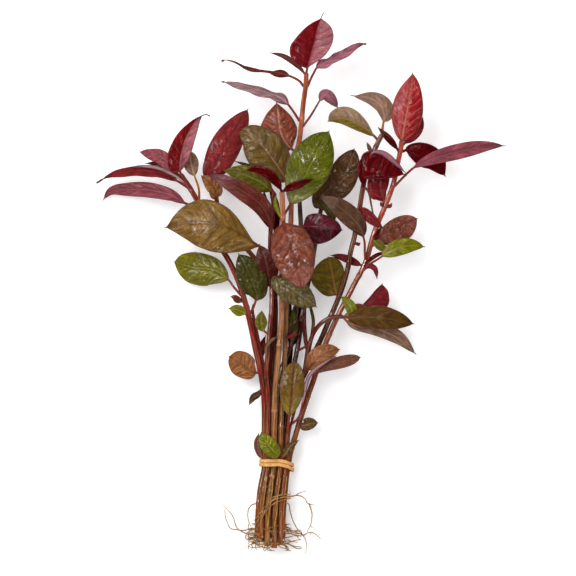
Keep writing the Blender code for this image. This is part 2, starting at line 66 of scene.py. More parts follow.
def pigment(colour: Colour, alpha: float = 1.0) -> tuple[float, float, float, float]:
    """Turn a colour as seen on a screen, from 0 to 255, into the shader's own linear colour.

    Args:
        colour: red, green and blue from 0 to 255.
        alpha: the fourth number.

    Returns:
        The linear colour with its alpha.
    """
    shares = [value / 255 for value in colour]
    linear = [share / 12.92 if share <= 0.04045 else ((share + 0.055) / 1.055) ** 2.4 for share in shares]
    return (*linear, alpha)


def shade(colour: Colour, share: float) -> Colour:
    """Return a colour made darker or lighter by a share."""
    return tuple(min(255.0, value * share) for value in colour)


def in_world(point: Point | np.ndarray) -> Vector:
    """Turn plan millimetres into the model's metres."""
    return (Vector(point) - PLAN_CENTRE) * MM


class Field:
    """A socket's value in a node tree, on which Python's operators add Math nodes."""

    def __init__(self, nodes: "NodeWriter", node: bpy.types.Node, output: str | int = 0) -> None:
        """Hold one output of a node.

        Args:
            nodes: the writer of the tree.
            node: the node.
            output: the output's name or place.
        """
        self.nodes = nodes
        self.node = node
        self.socket = node.outputs[output]

    def out(self, name: str) -> "Field":
        """Return another output of the same node."""
        return Field(self.nodes, self.node, name)

    def math(self, operation: str, *others: "Field | float", clamp: bool = False) -> "Field":
        """Return this value joined to others by one Math node.

        Args:
            operation: the Math node's operation.
            others: the values that follow this one.
            clamp: whether the result is kept from 0 to 1.

        Returns:
            The Math node's result.
        """
        settings = {"operation": operation, "use_clamp": clamp}
        return self.nodes.add("ShaderNodeMath", settings, dict(enumerate((self, *others))))

    def __add__(self, other: "Field | float") -> "Field":
        """Add."""
        return self.math("ADD", other)

    __radd__ = __add__

    def __sub__(self, other: "Field | float") -> "Field":
        """Subtract."""
        return self.math("SUBTRACT", other)

    def __rsub__(self, other: float) -> "Field":
        """Subtract this from a number."""
        return self.nodes.number(other).math("SUBTRACT", self)

    def __mul__(self, other: "Field | float") -> "Field":
        """Multiply."""
        return self.math("MULTIPLY", other)

    __rmul__ = __mul__

    def __truediv__(self, other: "Field | float") -> "Field":
        """Divide."""
        return self.math("DIVIDE", other)

    def __pow__(self, other: "Field | float") -> "Field":
        """Raise to a power."""
        return self.math("POWER", other)

    def __neg__(self) -> "Field":
        """Turn the sign."""
        return self.math("MULTIPLY", -1.0)

    def __abs__(self) -> "Field":
        """Drop the sign."""
        return self.math("ABSOLUTE")

    def sin(self) -> "Field":
        """Return the sine."""
        return self.math("SINE")

    def cos(self) -> "Field":
        """Return the cosine."""
        return self.math("COSINE")

    def clamped(self) -> "Field":
        """Keep from 0 to 1."""
        return self.math("ADD", 0.0, clamp=True)

    def above(self, limit: float) -> "Field":
        """Return 1 where this is more than the limit, else 0."""
        return self.math("GREATER_THAN", limit)

    def hill(self, width: float) -> "Field":
        """Return 1 where this is 0, falling to nothing over about the width on both sides."""
        scaled = self * (1 / width)
        return (-(scaled * scaled)).math("EXPONENT")

    def step(self, start: float, end: float) -> "Field":
        """Rise smoothly from 0 to 1 while this goes from start to end."""
        values = {"Value": self, "From Min": start, "From Max": end}
        return self.nodes.add("ShaderNodeMapRange", {"interpolation_type": "SMOOTHSTEP"}, values)

    def between(self, low: "Field | float", high: "Field | float") -> "Field":
        """Return low where this is 0 and high where it is 1, and go evenly between them."""
        return self.nodes.add("ShaderNodeMix", {"data_type": "FLOAT"}, {0: self, 2: low, 3: high})


class Arrow(Field):
    """A vector in a node tree, on which Python's operators add Vector Math nodes."""

    def vector_math(self, operation: str, *others: Field) -> "Arrow":
        """Return this vector joined to others by one Vector Math node.

        Args:
            operation: the node's operation.
            others: the vectors that follow this one.

        Returns:
            The node's result.
        """
        sockets = dict(enumerate((self, *others)))
        made = self.nodes.add("ShaderNodeVectorMath", {"operation": operation}, sockets)
        return Arrow(self.nodes, made.node)

    def __add__(self, other: "Arrow") -> "Arrow":
        """Add."""
        return self.vector_math("ADD", other)

    def __sub__(self, other: "Arrow") -> "Arrow":
        """Subtract."""
        return self.vector_math("SUBTRACT", other)

    def __mul__(self, size: Field | float) -> "Arrow":
        """Make longer or shorter."""
        made = self.nodes.add("ShaderNodeVectorMath", {"operation": "SCALE"}, {0: self, 3: size})
        return Arrow(self.nodes, made.node)

    def cross(self, other: "Arrow") -> "Arrow":
        """Return the vector square to both."""
        return self.vector_math("CROSS_PRODUCT", other)

    def unit(self) -> "Arrow":
        """Return the same direction, 1 long."""
        return self.vector_math("NORMALIZE")


class NodeWriter:
    """Adds nodes to one tree."""

    def __init__(self, tree: bpy.types.NodeTree) -> None:
        """Write to the tree."""
        self.tree = tree

    def add(self, kind: str, settings: dict | None = None, sockets: dict | None = None,
            output: str | int = 0) -> Field:
        """Add a node.

        Args:
            kind: the node's type.
            settings: its properties.
            sockets: values or fields for its inputs, by name or place.
            output: the output that is wanted.

        Returns:
            That output.
        """
        node = self.tree.nodes.new(kind)
        for name, value in (settings or {}).items():
            setattr(node, name, value)
        for name, value in (sockets or {}).items():
            if isinstance(value, Field):
                self.tree.links.new(value.socket, node.inputs[name])
            else:
                node.inputs[name].default_value = value
        return Field(self, node, output)

    def number(self, value: float) -> Field:
        """Return a number as a field."""
        return self.add("ShaderNodeMath", {"operation": "ADD"}, {0: value, 1: 0.0})

    def vector(self, x: Field | float, y: Field | float, z: Field | float) -> Arrow:
        """Return the vector of three values."""
        return Arrow(self, self.add("ShaderNodeCombineXYZ", None, {0: x, 1: y, 2: z}).node)


class Paint(NodeWriter):
    """The shader of one material: a Principled surface and what varies over it."""

    def __init__(self, name: str, **constants: float) -> None:
        """Start a material.

        Args:
            name: the material's name.
            constants: the Principled shader's own numbers, by name with _ for a space.
        """
        self.material = bpy.data.materials.new(name)
        self.material.use_nodes = True
        super().__init__(self.material.node_tree)
        self.surface = self.tree.nodes["Principled BSDF"]
        for key, value in constants.items():
            self.surface.inputs[key.replace("_", " ")].default_value = value
        self.place = Arrow(self, self.add("ShaderNodeTexCoord", output="Object").node, "Object")

    def attribute(self, name: str) -> Field:
        """Return a number that the mesh keeps under the name."""
        return self.add("ShaderNodeAttribute", {"attribute_name": name}, output="Fac")

    def noise(self, size: float, detail: float = 2.0, where: Arrow | None = None,
              distortion: float = 0.0) -> Field:
        """Return a soft random pattern from 0 to 1.

        Args:
            size: the width of its features in millimetres.
            detail: how many finer layers it has.
            where: the coordinates it reads, in metres, or None for the object's own.
            distortion: how much it swirls.

        Returns:
            The pattern, spread so that it uses most of 0 to 1.
        """
        sockets = {"Vector": where or self.place, "Scale": 1 / (size * MM), "Detail": detail,
                   "Distortion": distortion}
        return self.add("ShaderNodeTexNoise", None, sockets).step(0.28, 0.72)

    def blend(self, share: Field | float, first: Field | Colour, second: Field | Colour) -> Field:
        """Mix two colours.

        Args:
            share: how much of the second colour there is, from 0 to 1.
            first: the first colour.
            second: the second colour.

        Returns:
            The mixed colour.
        """
        pair = [colour if isinstance(colour, Field) else pigment(colour) for colour in (first, second)]
        made = self.add("ShaderNodeMix", {"data_type": "RGBA"}, {0: share, 6: pair[0], 7: pair[1]})
        return Field(self, made.node, 2)

    def marked(self, colour: Field | Colour, marks: tuple[tuple[Field, Colour], ...]) -> Field:
        """Lay marks over a colour, one after another.

        Args:
            colour: the colour under them.
            marks: each mark's share from 0 to 1 and its colour.

        Returns:
            The colour with its marks.
        """
        for share, mark in marks:
            colour = self.blend(share, colour, mark)
        return colour

    def finish(self, colour: Field, roughness: Field, height: Field, coat: Field | None = None
               ) -> bpy.types.Material:
        """Link the surface.

        Args:
            colour: its colour.
            roughness: its roughness.
            height: its relief in millimetres.
            coat: how much of it is wet and glossy, or None for the same all over.

        Returns:
            The material.
        """
        relief = self.add("ShaderNodeBump", None, {"Height": height, "Distance": MM, "Strength": 1.0})
        wanted = {"Base Color": colour, "Roughness": roughness, "Normal": relief}
        if coat is not None:
            wanted["Coat Weight"] = coat
        for name, value in wanted.items():
            self.tree.links.new(value.socket, self.surface.inputs[name])
        return self.material


class Growth(NodeWriter):
    """A Geometry Nodes tree that grows a closed mesh along a path, with named inputs for its sizes."""

    SOCKETS = {float: "NodeSocketFloat", int: "NodeSocketInt", type(None): "NodeSocketMaterial"}

    def __init__(self, name: str, inputs: dict[str, float | int | None]) -> None:
        """Start a tree.

        Args:
            name: the tree's name.
            inputs: its inputs and their usual values; None stands for a material.
        """
        super().__init__(bpy.data.node_groups.new(name, "GeometryNodeTree"))
        self.tree.is_modifier = True
        face = self.tree.interface
        face.new_socket("Geometry", in_out="INPUT", socket_type="NodeSocketGeometry")
        face.new_socket("Geometry", in_out="OUTPUT", socket_type="NodeSocketGeometry")
        self.keys = {}
        for key, value in inputs.items():
            made = face.new_socket(key, in_out="INPUT", socket_type=self.SOCKETS[type(value)])
            if value is not None:
                made.default_value = value
            self.keys[key] = made.identifier
        self.entry = self.tree.nodes.new("NodeGroupInput")
        self.exit = self.tree.nodes.new("NodeGroupOutput")

    def given(self, name: str) -> Field:
        """Return one of the tree's inputs."""
        return Field(self, self.entry, name)

    def path(self) -> Field:
        """Return the path that the mesh grows along, as a curve."""
        return self.add("GeometryNodeMeshToCurve", None, {"Mesh": self.given("Geometry")})

    def keep(self, geometry: Field, name: str, value: Field) -> Field:
        """Store a number on the geometry's points under a name.

        Args:
            geometry: the geometry.
            name: the name.
            value: the number.

        Returns:
            The geometry with the number.
        """
        settings = {"data_type": "FLOAT", "domain": "POINT"}
        return self.add("GeometryNodeStoreNamedAttribute", settings,
                        {"Geometry": geometry, "Name": name, "Value": value})

    def kept(self, name: str) -> Field:
        """Return a number stored under a name."""
        return self.add("GeometryNodeInputNamedAttribute", {"data_type": "FLOAT"}, {"Name": name})

    def moved(self, geometry: Field, position: Arrow) -> Field:
        """Move the geometry's points to the positions."""
        return self.add("GeometryNodeSetPosition", None, {"Geometry": geometry, "Position": position})

    def joined(self, *parts: Field) -> Field:
        """Join geometries.

        Args:
            parts: the geometries.

        Returns:
            All of them as one.
        """
        made = self.add("GeometryNodeJoinGeometry")
        for part in reversed(parts):
            self.tree.links.new(part.socket, made.node.inputs[0])
        return made

    def close(self, geometry: Field) -> None:
        """End the tree: plain faces, shaded smooth, in the given material.

        Args:
            geometry: what the tree has made.
        """
        plain = self.add("GeometryNodeRealizeInstances", None, {"Geometry": geometry})
        smooth = self.add("GeometryNodeSetShadeSmooth", None, {"Geometry": plain})
        sockets = {"Geometry": smooth, "Material": self.given("Finish")}
        self.tree.links.new(self.add("GeometryNodeSetMaterial", None, sockets).socket, self.exit.inputs[0])

    def grow(self, name: str, paths: list[list[Vector]], values: dict, loop: bool = False
             ) -> bpy.types.Object:
        """Grow a mesh along paths and keep it as a plain object at the origin.

        Args:
            name: the object's name.
            paths: each path's points in metres.
            values: the tree's inputs.
            loop: whether each path closes on itself.

        Returns:
            The object.
        """
        points = [point for path in paths for point in path]
        edges = []
        start = 0
        for path in paths:
            edges += [(index, index + 1) for index in range(start, start + len(path) - 1)]
            if loop:
                edges.append((start + len(path) - 1, start))
            start += len(path)
        mesh = bpy.data.meshes.new(name)
        mesh.from_pydata([tuple(point) for point in points], edges, [])
        seedling = bpy.data.objects.new(name + "_path", mesh)
        bpy.context.scene.collection.objects.link(seedling)
        modifier = seedling.modifiers.new("growth", "NODES")
        modifier.node_group = self.tree
        for key, value in values.items():
            modifier[self.keys[key]] = value
        depsgraph = bpy.context.evaluated_depsgraph_get()
        grown = bpy.data.meshes.new_from_object(seedling.evaluated_get(depsgraph), depsgraph=depsgraph)
        grown.name = name
        bpy.data.objects.remove(seedling, do_unlink=True)
        bpy.data.meshes.remove(mesh)
        piece = bpy.data.objects.new(name, grown)
        bpy.context.scene.collection.objects.link(piece)
        return piece


def smooth_route(points: tuple[Point, ...] | list[Point], count: int, per_span: int = 12) -> np.ndarray:
    """Return points evenly spaced on the smooth curve that passes through the given ones.

    Args:
        points: the points to pass through, in plan millimetres.
        count: how many to return.
        per_span: how finely each stretch between two given points is worked out first.

    Returns:
        An array of count by 3.
    """
    knots = np.array(points, dtype=float)
    padded = np.vstack([2 * knots[0] - knots[1], knots, 2 * knots[-1] - knots[-2]])
    steps = np.linspace(0.0, 1.0, per_span, endpoint=False)[:, None]
    dense = []
    for before, start, end, after in zip(padded, padded[1:], padded[2:], padded[3:]):
        dense.append(0.5 * (
            2 * start
            + (end - before) * steps
            + (2 * before - 5 * start + 4 * end - after) * steps**2
            + (3 * start - before - 3 * end + after) * steps**3
        ))
    dense = np.vstack([*dense, knots[-1:]])
    lengths = np.concatenate([[0.0], np.cumsum(np.linalg.norm(np.diff(dense, axis=0), axis=1))])
    wanted = np.linspace(0.0, lengths[-1], count)
    return np.column_stack([np.interp(wanted, lengths, dense[:, axis]) for axis in range(3)])


def world_route(points: tuple[Point, ...] | list[Point], count: int) -> list[Vector]:
    """Return a number of places in the model on the smooth curve through points of the plan."""
    return [in_world(point) for point in smooth_route(points, count)]


@dataclass(frozen=True)
class StemFinish:
    """The colours of a stem from its root end to its tip, and of its nodes, as seen on a screen."""

    low: Colour
    middle: Colour
    high: Colour
    node: Colour
    # The colour of the pale lines along the stem, a painted highlight that stands for its wet gloss, and
    # below it how strongly they show.
    sheen_streak: Colour = (214, 164, 136)
    streaks: float = 0.22
    nodes: float = 0.15

    def material(self, name: str) -> bpy.types.Material:
        """Make the material: lengthwise fibres with painted shade between them and painted highlight lines
        on them, blotches, faint rings at the nodes, a wet gloss.

        Args:
            name: the material's name.

        Returns:
            The material.
        """
        paint = Paint(name, Coat_Roughness=0.08, Specular_IOR_Level=0.5)
        reach = paint.attribute("reach")
        node = paint.attribute("node")
        turn = paint.attribute("round") * (2 * math.pi)
        fibre = paint.vector(turn.cos() * 0.0015, turn.sin() * 0.0015, paint.attribute("run") * 0.04)
        lines = paint.noise(0.5, 3.0, fibre)
        patches = paint.noise(6.0, 3.0)
        body = paint.marked(self.low, (
            (reach.step(0.17, 0.42), self.middle),
            (reach.step(0.5, 0.85), self.high),
            (patches.step(0.45, 1.0) * 0.55, shade(self.low, 0.55)),
            # dark lines along the fibres: partly the stem's own ridge lines, partly painted shade for the
            # dark gaps between the stems
            (lines.step(0.5, 0.1) * 0.75, shade(self.middle, 0.3)),
            # pale lines along the fibres: a painted highlight for the wet gloss
            (lines.step(0.62, 0.82) * self.streaks, self.sheen_streak),
            (node.step(0.3, 0.9) * reach.step(0.04, 0.1) * self.nodes, self.node),
        ))
        beads = paint.noise(1.3, 2.0)
        height = lines * 0.05 + patches * 0.08 + beads * 0.05
        return paint.finish(body, patches.between(0.1, 0.2), height, beads.between(0.0, 0.7))


@dataclass(frozen=True)
class Stem:
    """A stem: its place among the others under the band, then its own route above it."""

    name: str
    diameter: float
    slot: tuple[float, float]
    route: tuple[Point, ...]


class StemGrowth(Growth):
    """Grows round stems that swell at their nodes and narrow to their tips."""

    def __init__(self) -> None:
        """Write the tree."""
        super().__init__("stem_growth", {
            "Radius": 1.3 * MM, "Taper": 0.2, "Node Spacing": 11 * MM, "First Node": 0.5,
            "Node Swell": 0.13, "Ripple": 0.12 * MM, "Sides": 16, "Finish": None,
        })
        sockets = {"Curve": self.path(), "Length": 0.8 * MM}
        rail = self.add("GeometryNodeResampleCurve", {"mode": "LENGTH"}, sockets)
        spline = self.add("GeometryNodeSplineParameter")
        share = spline.out("Length") / self.given("Node Spacing") + self.given("First Node")
        off_node = (share.math("FRACT") - 0.5) * self.given("Node Spacing")
        rail = self.keep(rail, "reach", spline.out("Factor"))
        rail = self.keep(rail, "run", spline.out("Length"))
        rail = self.keep(rail, "node", off_node.hill(0.7 * MM))
        ring = self.add("GeometryNodeCurvePrimitiveCircle", None,
                        {"Resolution": self.given("Sides"), "Radius": 1.0})
        ring = self.keep(ring, "round", self.add("GeometryNodeSplineParameter").out("Factor"))
        taper = 1 - self.given("Taper") * self.kept("reach")
        bark = self.add("ShaderNodeTexNoise", None, {"Scale": 260.0, "Detail": 2.0}) - 0.5
        swell = 1 + self.kept("node") * self.given("Node Swell")
        radius = self.given("Radius") * taper * swell + bark * self.given("Ripple")
        sockets = {"Curve": rail, "Profile Curve": ring, "Scale": radius, "Fill Caps": True}
        self.close(self.add("GeometryNodeCurveToMesh", None, sockets))


class LeafGrowth(Growth):
    """Grows a stalk and blade along a midrib: two skins that meet at the margin and at both ends.

    The ends close over one part in CLOSING of the length. SWEEP is how far the veins lean to the tip,
    and FURROW and KEEL are the depths of the midrib above and below the blade.
    """

    CLOSING = 120
    SWEEP = 0.2
    FURROW = 0.16 * MM
    KEEL = 0.45 * MM

    def __init__(self) -> None:
        """Write the tree."""
        super().__init__("leaf_growth", {
            "Steps Along": 73, "Steps Across": 27, "Left": 5 * MM, "Right": 5 * MM, "Stalk": 0.1,
            "Tail": 0.03, "Fold": 0.0, "Curl": -0.2, "Roll": 0.0, "Twist": 0.0, "Widest Left": 0.45,
            "Widest Right": 0.45, "Point Left": 0.8, "Point Right": 0.8, "Wave": 0.3 * MM,
            "Waves": 3.0, "Phase": 0.0, "Veins": 7.0, "Quilt": 0.15 * MM, "Warp": 0.5 * MM,
            "Tone": 0.5, "Stalk Radius": 0.6 * MM, "Tip Radius": 0.15 * MM, "Thickness": 0.16 * MM,
            "Finish": None,
        })
        sockets = {"Size X": 1.0, "Size Y": 2.0, "Vertices X": self.given("Steps Along"),
                   "Vertices Y": self.given("Steps Across")}
        flat = self.add("GeometryNodeMeshGrid", None, sockets)
        place = self.add("ShaderNodeSeparateXYZ", None, {0: self.add("GeometryNodeInputPosition")})
        flat = self.keep(flat, "along", place.out("X") + 0.5)
        flat = self.keep(flat, "across", place.out("Y"))
        self.shape()
        flat = self.keep(flat, "tone", self.given("Tone"))
        flat = self.keep(flat, "blade", self.blade)
        flat = self.keep(flat, "vein", self.vein)
        flat = self.keep(flat, "edge", (1 - self.off) * self.width)
        flat = self.keep(flat, "rib", self.off * self.width)
        top = self.keep(self.moved(flat, self.skin(1)), "upper", self.number(1.0))
        top = self.add("GeometryNodeFlipFaces", None, {"Mesh": top})
        bottom = self.keep(self.moved(flat, self.skin(-1)), "upper", self.number(0.0))
        whole = self.joined(top, bottom)
        self.close(self.add("GeometryNodeMergeByDistance", None, {"Geometry": whole, "Distance": 1e-6}))

    def shape(self) -> None:
        """Work out the blade's width, its section and its frame at each point of the flat sheet."""
        given = self.given
        along, across = self.kept("along"), self.kept("across")
        self.off = abs(across)
        right = across.above(0.0)
        side_sign = right * 2 - 1
        self.blade = ((along - given("Stalk")) / (1 - given("Stalk") - given("Tail"))).clamped()
        peak = right.between(given("Widest Left"), given("Widest Right"))
        point = right.between(given("Point Left"), given("Point Right"))
        base_power = point * peak * 2
        tip_power = point * (1 - peak) * 2
        outline = (self.blade / peak) ** base_power * ((1 - self.blade) / (1 - peak)) ** tip_power
        full = right.between(given("Left"), given("Right")) * outline
        thin = along.between(given("Stalk Radius"), given("Tip Radius"))
        sockets = {0: full, 1: thin, 2: 0.25 * MM}
        wide = self.add("ShaderNodeMath", {"operation": "SMOOTH_MAX"}, sockets)
        near_base = 1 - (1 - (along * self.CLOSING).clamped()) ** 2
        near_tip = 1 - (1 - ((1 - along) * self.CLOSING).clamped()) ** 2
        self.ends = (near_base * near_tip).math("SQRT")
        self.width = wide * self.ends
        self.is_stalk = 1 - (full / (thin * 2.5)).step(0.0, 1.0)
        bend = given("Curl") * self.off + 1e-4
        angle = given("Fold") + bend
        sideways = (angle.sin() - given("Fold").sin()) / bend * self.off
        upwards = (given("Fold").cos() - angle.cos()) / bend * self.off
        self.vein = given("Veins") * (self.blade - (self.off**1.3) * self.SWEEP)
        pillow = abs((self.vein * math.pi).sin()) ** 0.7
        body = (1 - self.is_stalk) * self.off.step(0.0, 0.2) * self.off.step(1.0, 0.75)
        ripple = (self.blade * given("Waves") * (2 * math.pi) + given("Phase") + side_sign * 0.8).sin()
        where = self.vector(along * 3.0, across * 0.8, given("Phase"))
        soft = self.add("ShaderNodeTexNoise", None, {"Vector": where, "Scale": 1.0, "Detail": 1.0}) - 0.5
        lift = pillow * body * given("Quilt") + ripple * given("Wave") * self.off**2 * outline
        lift = lift + soft * given("Warp") * (1 - self.is_stalk)
        midrib = self.add("GeometryNodeSampleCurve", {"mode": "FACTOR"},
                          {"Curves": self.path(), "Factor": along})
        tangent = Arrow(self, midrib.node, "Tangent").unit()
        level_side = tangent.cross(self.vector(0.0, 0.0, 1.0)).unit()
        level_up = level_side.cross(tangent)
        roll = given("Roll") * (self.blade * 4).clamped() + given("Twist") * self.blade
        side = level_side * roll.cos() + level_up * roll.sin()
        up = level_up * roll.cos() - level_side * roll.sin()
        outward = side * side_sign
        centre = Arrow(self, midrib.node, "Position")
        self.middle = centre + outward * (self.width * sideways) + up * (self.width * upwards + lift)
        self.normal = up * angle.cos() - outward * angle.sin()

    def skin(self, sign: int) -> Arrow:
        """Work out one skin of the blade, with the midrib's furrow above or its keel below.

        Args:
            sign: 1 for the upper skin or -1 for the lower one.

        Returns:
            The places of its points.
        """
        round_edge = ((1 - self.off * self.off).clamped()).math("SQRT")
        depth = self.is_stalk.between(self.given("Thickness"), self.given("Stalk Radius")) * round_edge
        rib = self.off * self.width
        if sign > 0:
            furrow = rib.hill(0.55 * MM) * (1 - self.is_stalk) * self.FURROW
            return self.middle + self.normal * ((depth - furrow) * self.ends)
        keel = rib.hill(0.5 * MM) * (1 - self.is_stalk) * (1 - self.blade) * self.KEEL
        return self.middle - self.normal * ((depth + keel * round_edge) * self.ends)


class LeafPaint(Paint):
    """The start of a leaf's material: what its mesh keeps, and the patterns that follow from it."""

    def __init__(self, name: str, shine: float) -> None:
        """Start the material.

        Args:
            name: the material's name.
            shine: how strongly the leaf's surface mirrors, beside its wet coat.
        """
        super().__init__(name, Coat_Roughness=0.12, Specular_IOR_Level=shine)
        self.blade = self.attribute("blade")
        self.across = self.attribute("across")
        self.upper = self.attribute("upper")
        self.edge = self.attribute("edge")
        self.rib = self.attribute("rib")
        self.tone = self.attribute("tone")
        vein = self.attribute("vein")
        self.off_vein = abs(vein.math("FRACT") - 0.5)
        inside = 1 - abs(self.across).step(0.7, 1.0)
        self.line = self.off_vein.step(0.44, 0.5) * inside * self.rib.step(0.0, 0.8 * MM)
        self.own_place = self.place + self.vector(self.tone, self.tone * 2, 0.0)
        self.patches = self.noise(8.0, 3.0, self.own_place, 0.6)
        along_veins = self.vector(vein * 0.0016, abs(self.across) * 0.0022, self.tone * 0.1)
        # streaks that run along the veins: they raise the relief, and the colour paints shade in their
        # furrows and a highlight on their ridges
        self.sheen_streak = self.noise(1.0, 3.0, along_veins, 0.4)
        self.fine = self.noise(1.1, 2.0, self.own_place)
        self.wet = self.noise(9.0, 2.0, self.own_place, 0.5).step(0.35, 0.65)


@dataclass(frozen=True)
class LeafFinish:
    """The colours of a kind of leaf as seen on a screen, and how glossy and wrinkled it is.

    upper and second are the two that blend over the upper side, right is the upper side's right half
    where it differs, base and tip the two ends of the blade, under the underside, and rib and rim the
    midrib and the margin. On some kinds a half or an end holds painted light: a painted sheen where it
    faces the light, painted shade where it faces away. veins and spine are how far the veins and the
    midrib show, wrinkle is how deep the surface is crumpled, rough how dull it is, coat how wet, and
    shine how much it mirrors.
    """

    upper: Colour
    second: Colour
    base: Colour | None = None
    tip: Colour | None = None
    right: Colour | None = None
    vein: Colour | None = None
    rib: Colour | None = None
    rim: Colour | None = None
    under: Colour = (150, 112, 112)
    stalk: Colour = (120, 50, 40)
    veins: float = 0.45
    spine: float = 0.7
    wrinkle: float = 0.36
    rough: float = 0.14
    coat: float = 0.12
    shine: float = 0.12

    def material(self, name: str) -> bpy.types.Material:
        """Make the material: the blade's two sides, its stalk, its wrinkles and its wet gloss.

        Args:
            name: the material's name.

        Returns:
            The material.
        """
        paint = LeafPaint(name, self.shine)
        colour = paint.blend(paint.upper, self.under_colour(paint), self.upper_colour(paint))
        colour = paint.blend(paint.blade.step(0.06, 0.0), colour, self.stalk)
        wrinkles = paint.noise(3.2, 2.0, paint.own_place, 0.8)
        height = wrinkles * (self.wrinkle * 0.45) + paint.sheen_streak * (self.wrinkle * 0.5)
        height = height + paint.fine * (self.wrinkle * 0.22) - paint.line * 0.1
        height = height * paint.wet.between(0.7, 1.3)
        roughness = paint.upper.between(0.5, paint.wet.between(self.rough + 0.04, self.rough))
        film = paint.noise(4.0, 2.0, paint.own_place) * 0.7 + 0.3
        return paint.finish(colour, roughness, height, paint.upper.between(0.05, film * self.coat))

    def upper_colour(self, paint: LeafPaint) -> Field:
        """Work out the upper side's colour, with its mottle, streaks, veins, midrib and margin, painted
        shade in its grooves and dimples, a painted highlight on its streaks' ridges, and painted sheen and
        shade on the halves and ends of some kinds.

        Args:
            paint: the leaf's material so far.

        Returns:
            The colour.
        """
        colour = paint.blend((paint.patches * 0.7 + paint.tone - 0.35).clamped(), self.upper, self.second)
        # The right half, base and tip colours: TOP and FOLDED have a painted sheen on the right half,
        # PURPLE painted shade there; GREEN's base and RED_BROWN's tip are a painted sheen.
        if self.right is not None:
            colour = paint.blend(paint.across.step(-0.05, 0.07), colour, self.right)
        if self.base is not None:
            colour = paint.blend(paint.blade.step(0.4, 0.0) * 0.85, colour, self.base)
        if self.tip is not None:
            colour = paint.blend(paint.blade.step(0.6, 0.97) * 0.85, colour, self.tip)
        dark = shade(self.upper, 0.42)
        drawn = self.vein or shade(self.upper, 1.3)
        return paint.marked(colour, (
            # painted shade in the grooves at the veins, where the blade swells between them
            (paint.off_vein.step(0.22, 0.5) * 0.2, dark),
            (paint.patches.step(0.5, 0.2) * 0.3, dark),
            # painted shade in the streaks' furrows, then a painted highlight on their ridges
            (paint.sheen_streak.step(0.5, 0.15) * 0.28, dark),
            (paint.sheen_streak.step(0.55, 0.9) * 0.22, shade(self.upper, 1.4)),
            # painted shade in the dimples of the fine grain
            (paint.fine.step(0.5, 0.15) * 0.2, dark),
            (paint.line * self.veins, drawn),
            (paint.rib.hill(1.1 * MM) * 0.3, dark),
            (paint.rib.hill(0.35 * MM) * (1 - paint.blade * 0.6) * self.spine, self.rib or drawn),
            (paint.edge.step(0.5 * MM, 0.05 * MM) * 0.5, self.rim or shade(self.upper, 0.5)),
        ))

    def under_colour(self, paint: LeafPaint) -> Field:
        """Return the underside's colour, which is patchy and has paler veins."""
        colour = paint.blend(paint.patches * 0.5, self.under, self.upper)
        return paint.blend(paint.line * 0.4, colour, shade(self.under, 1.15))


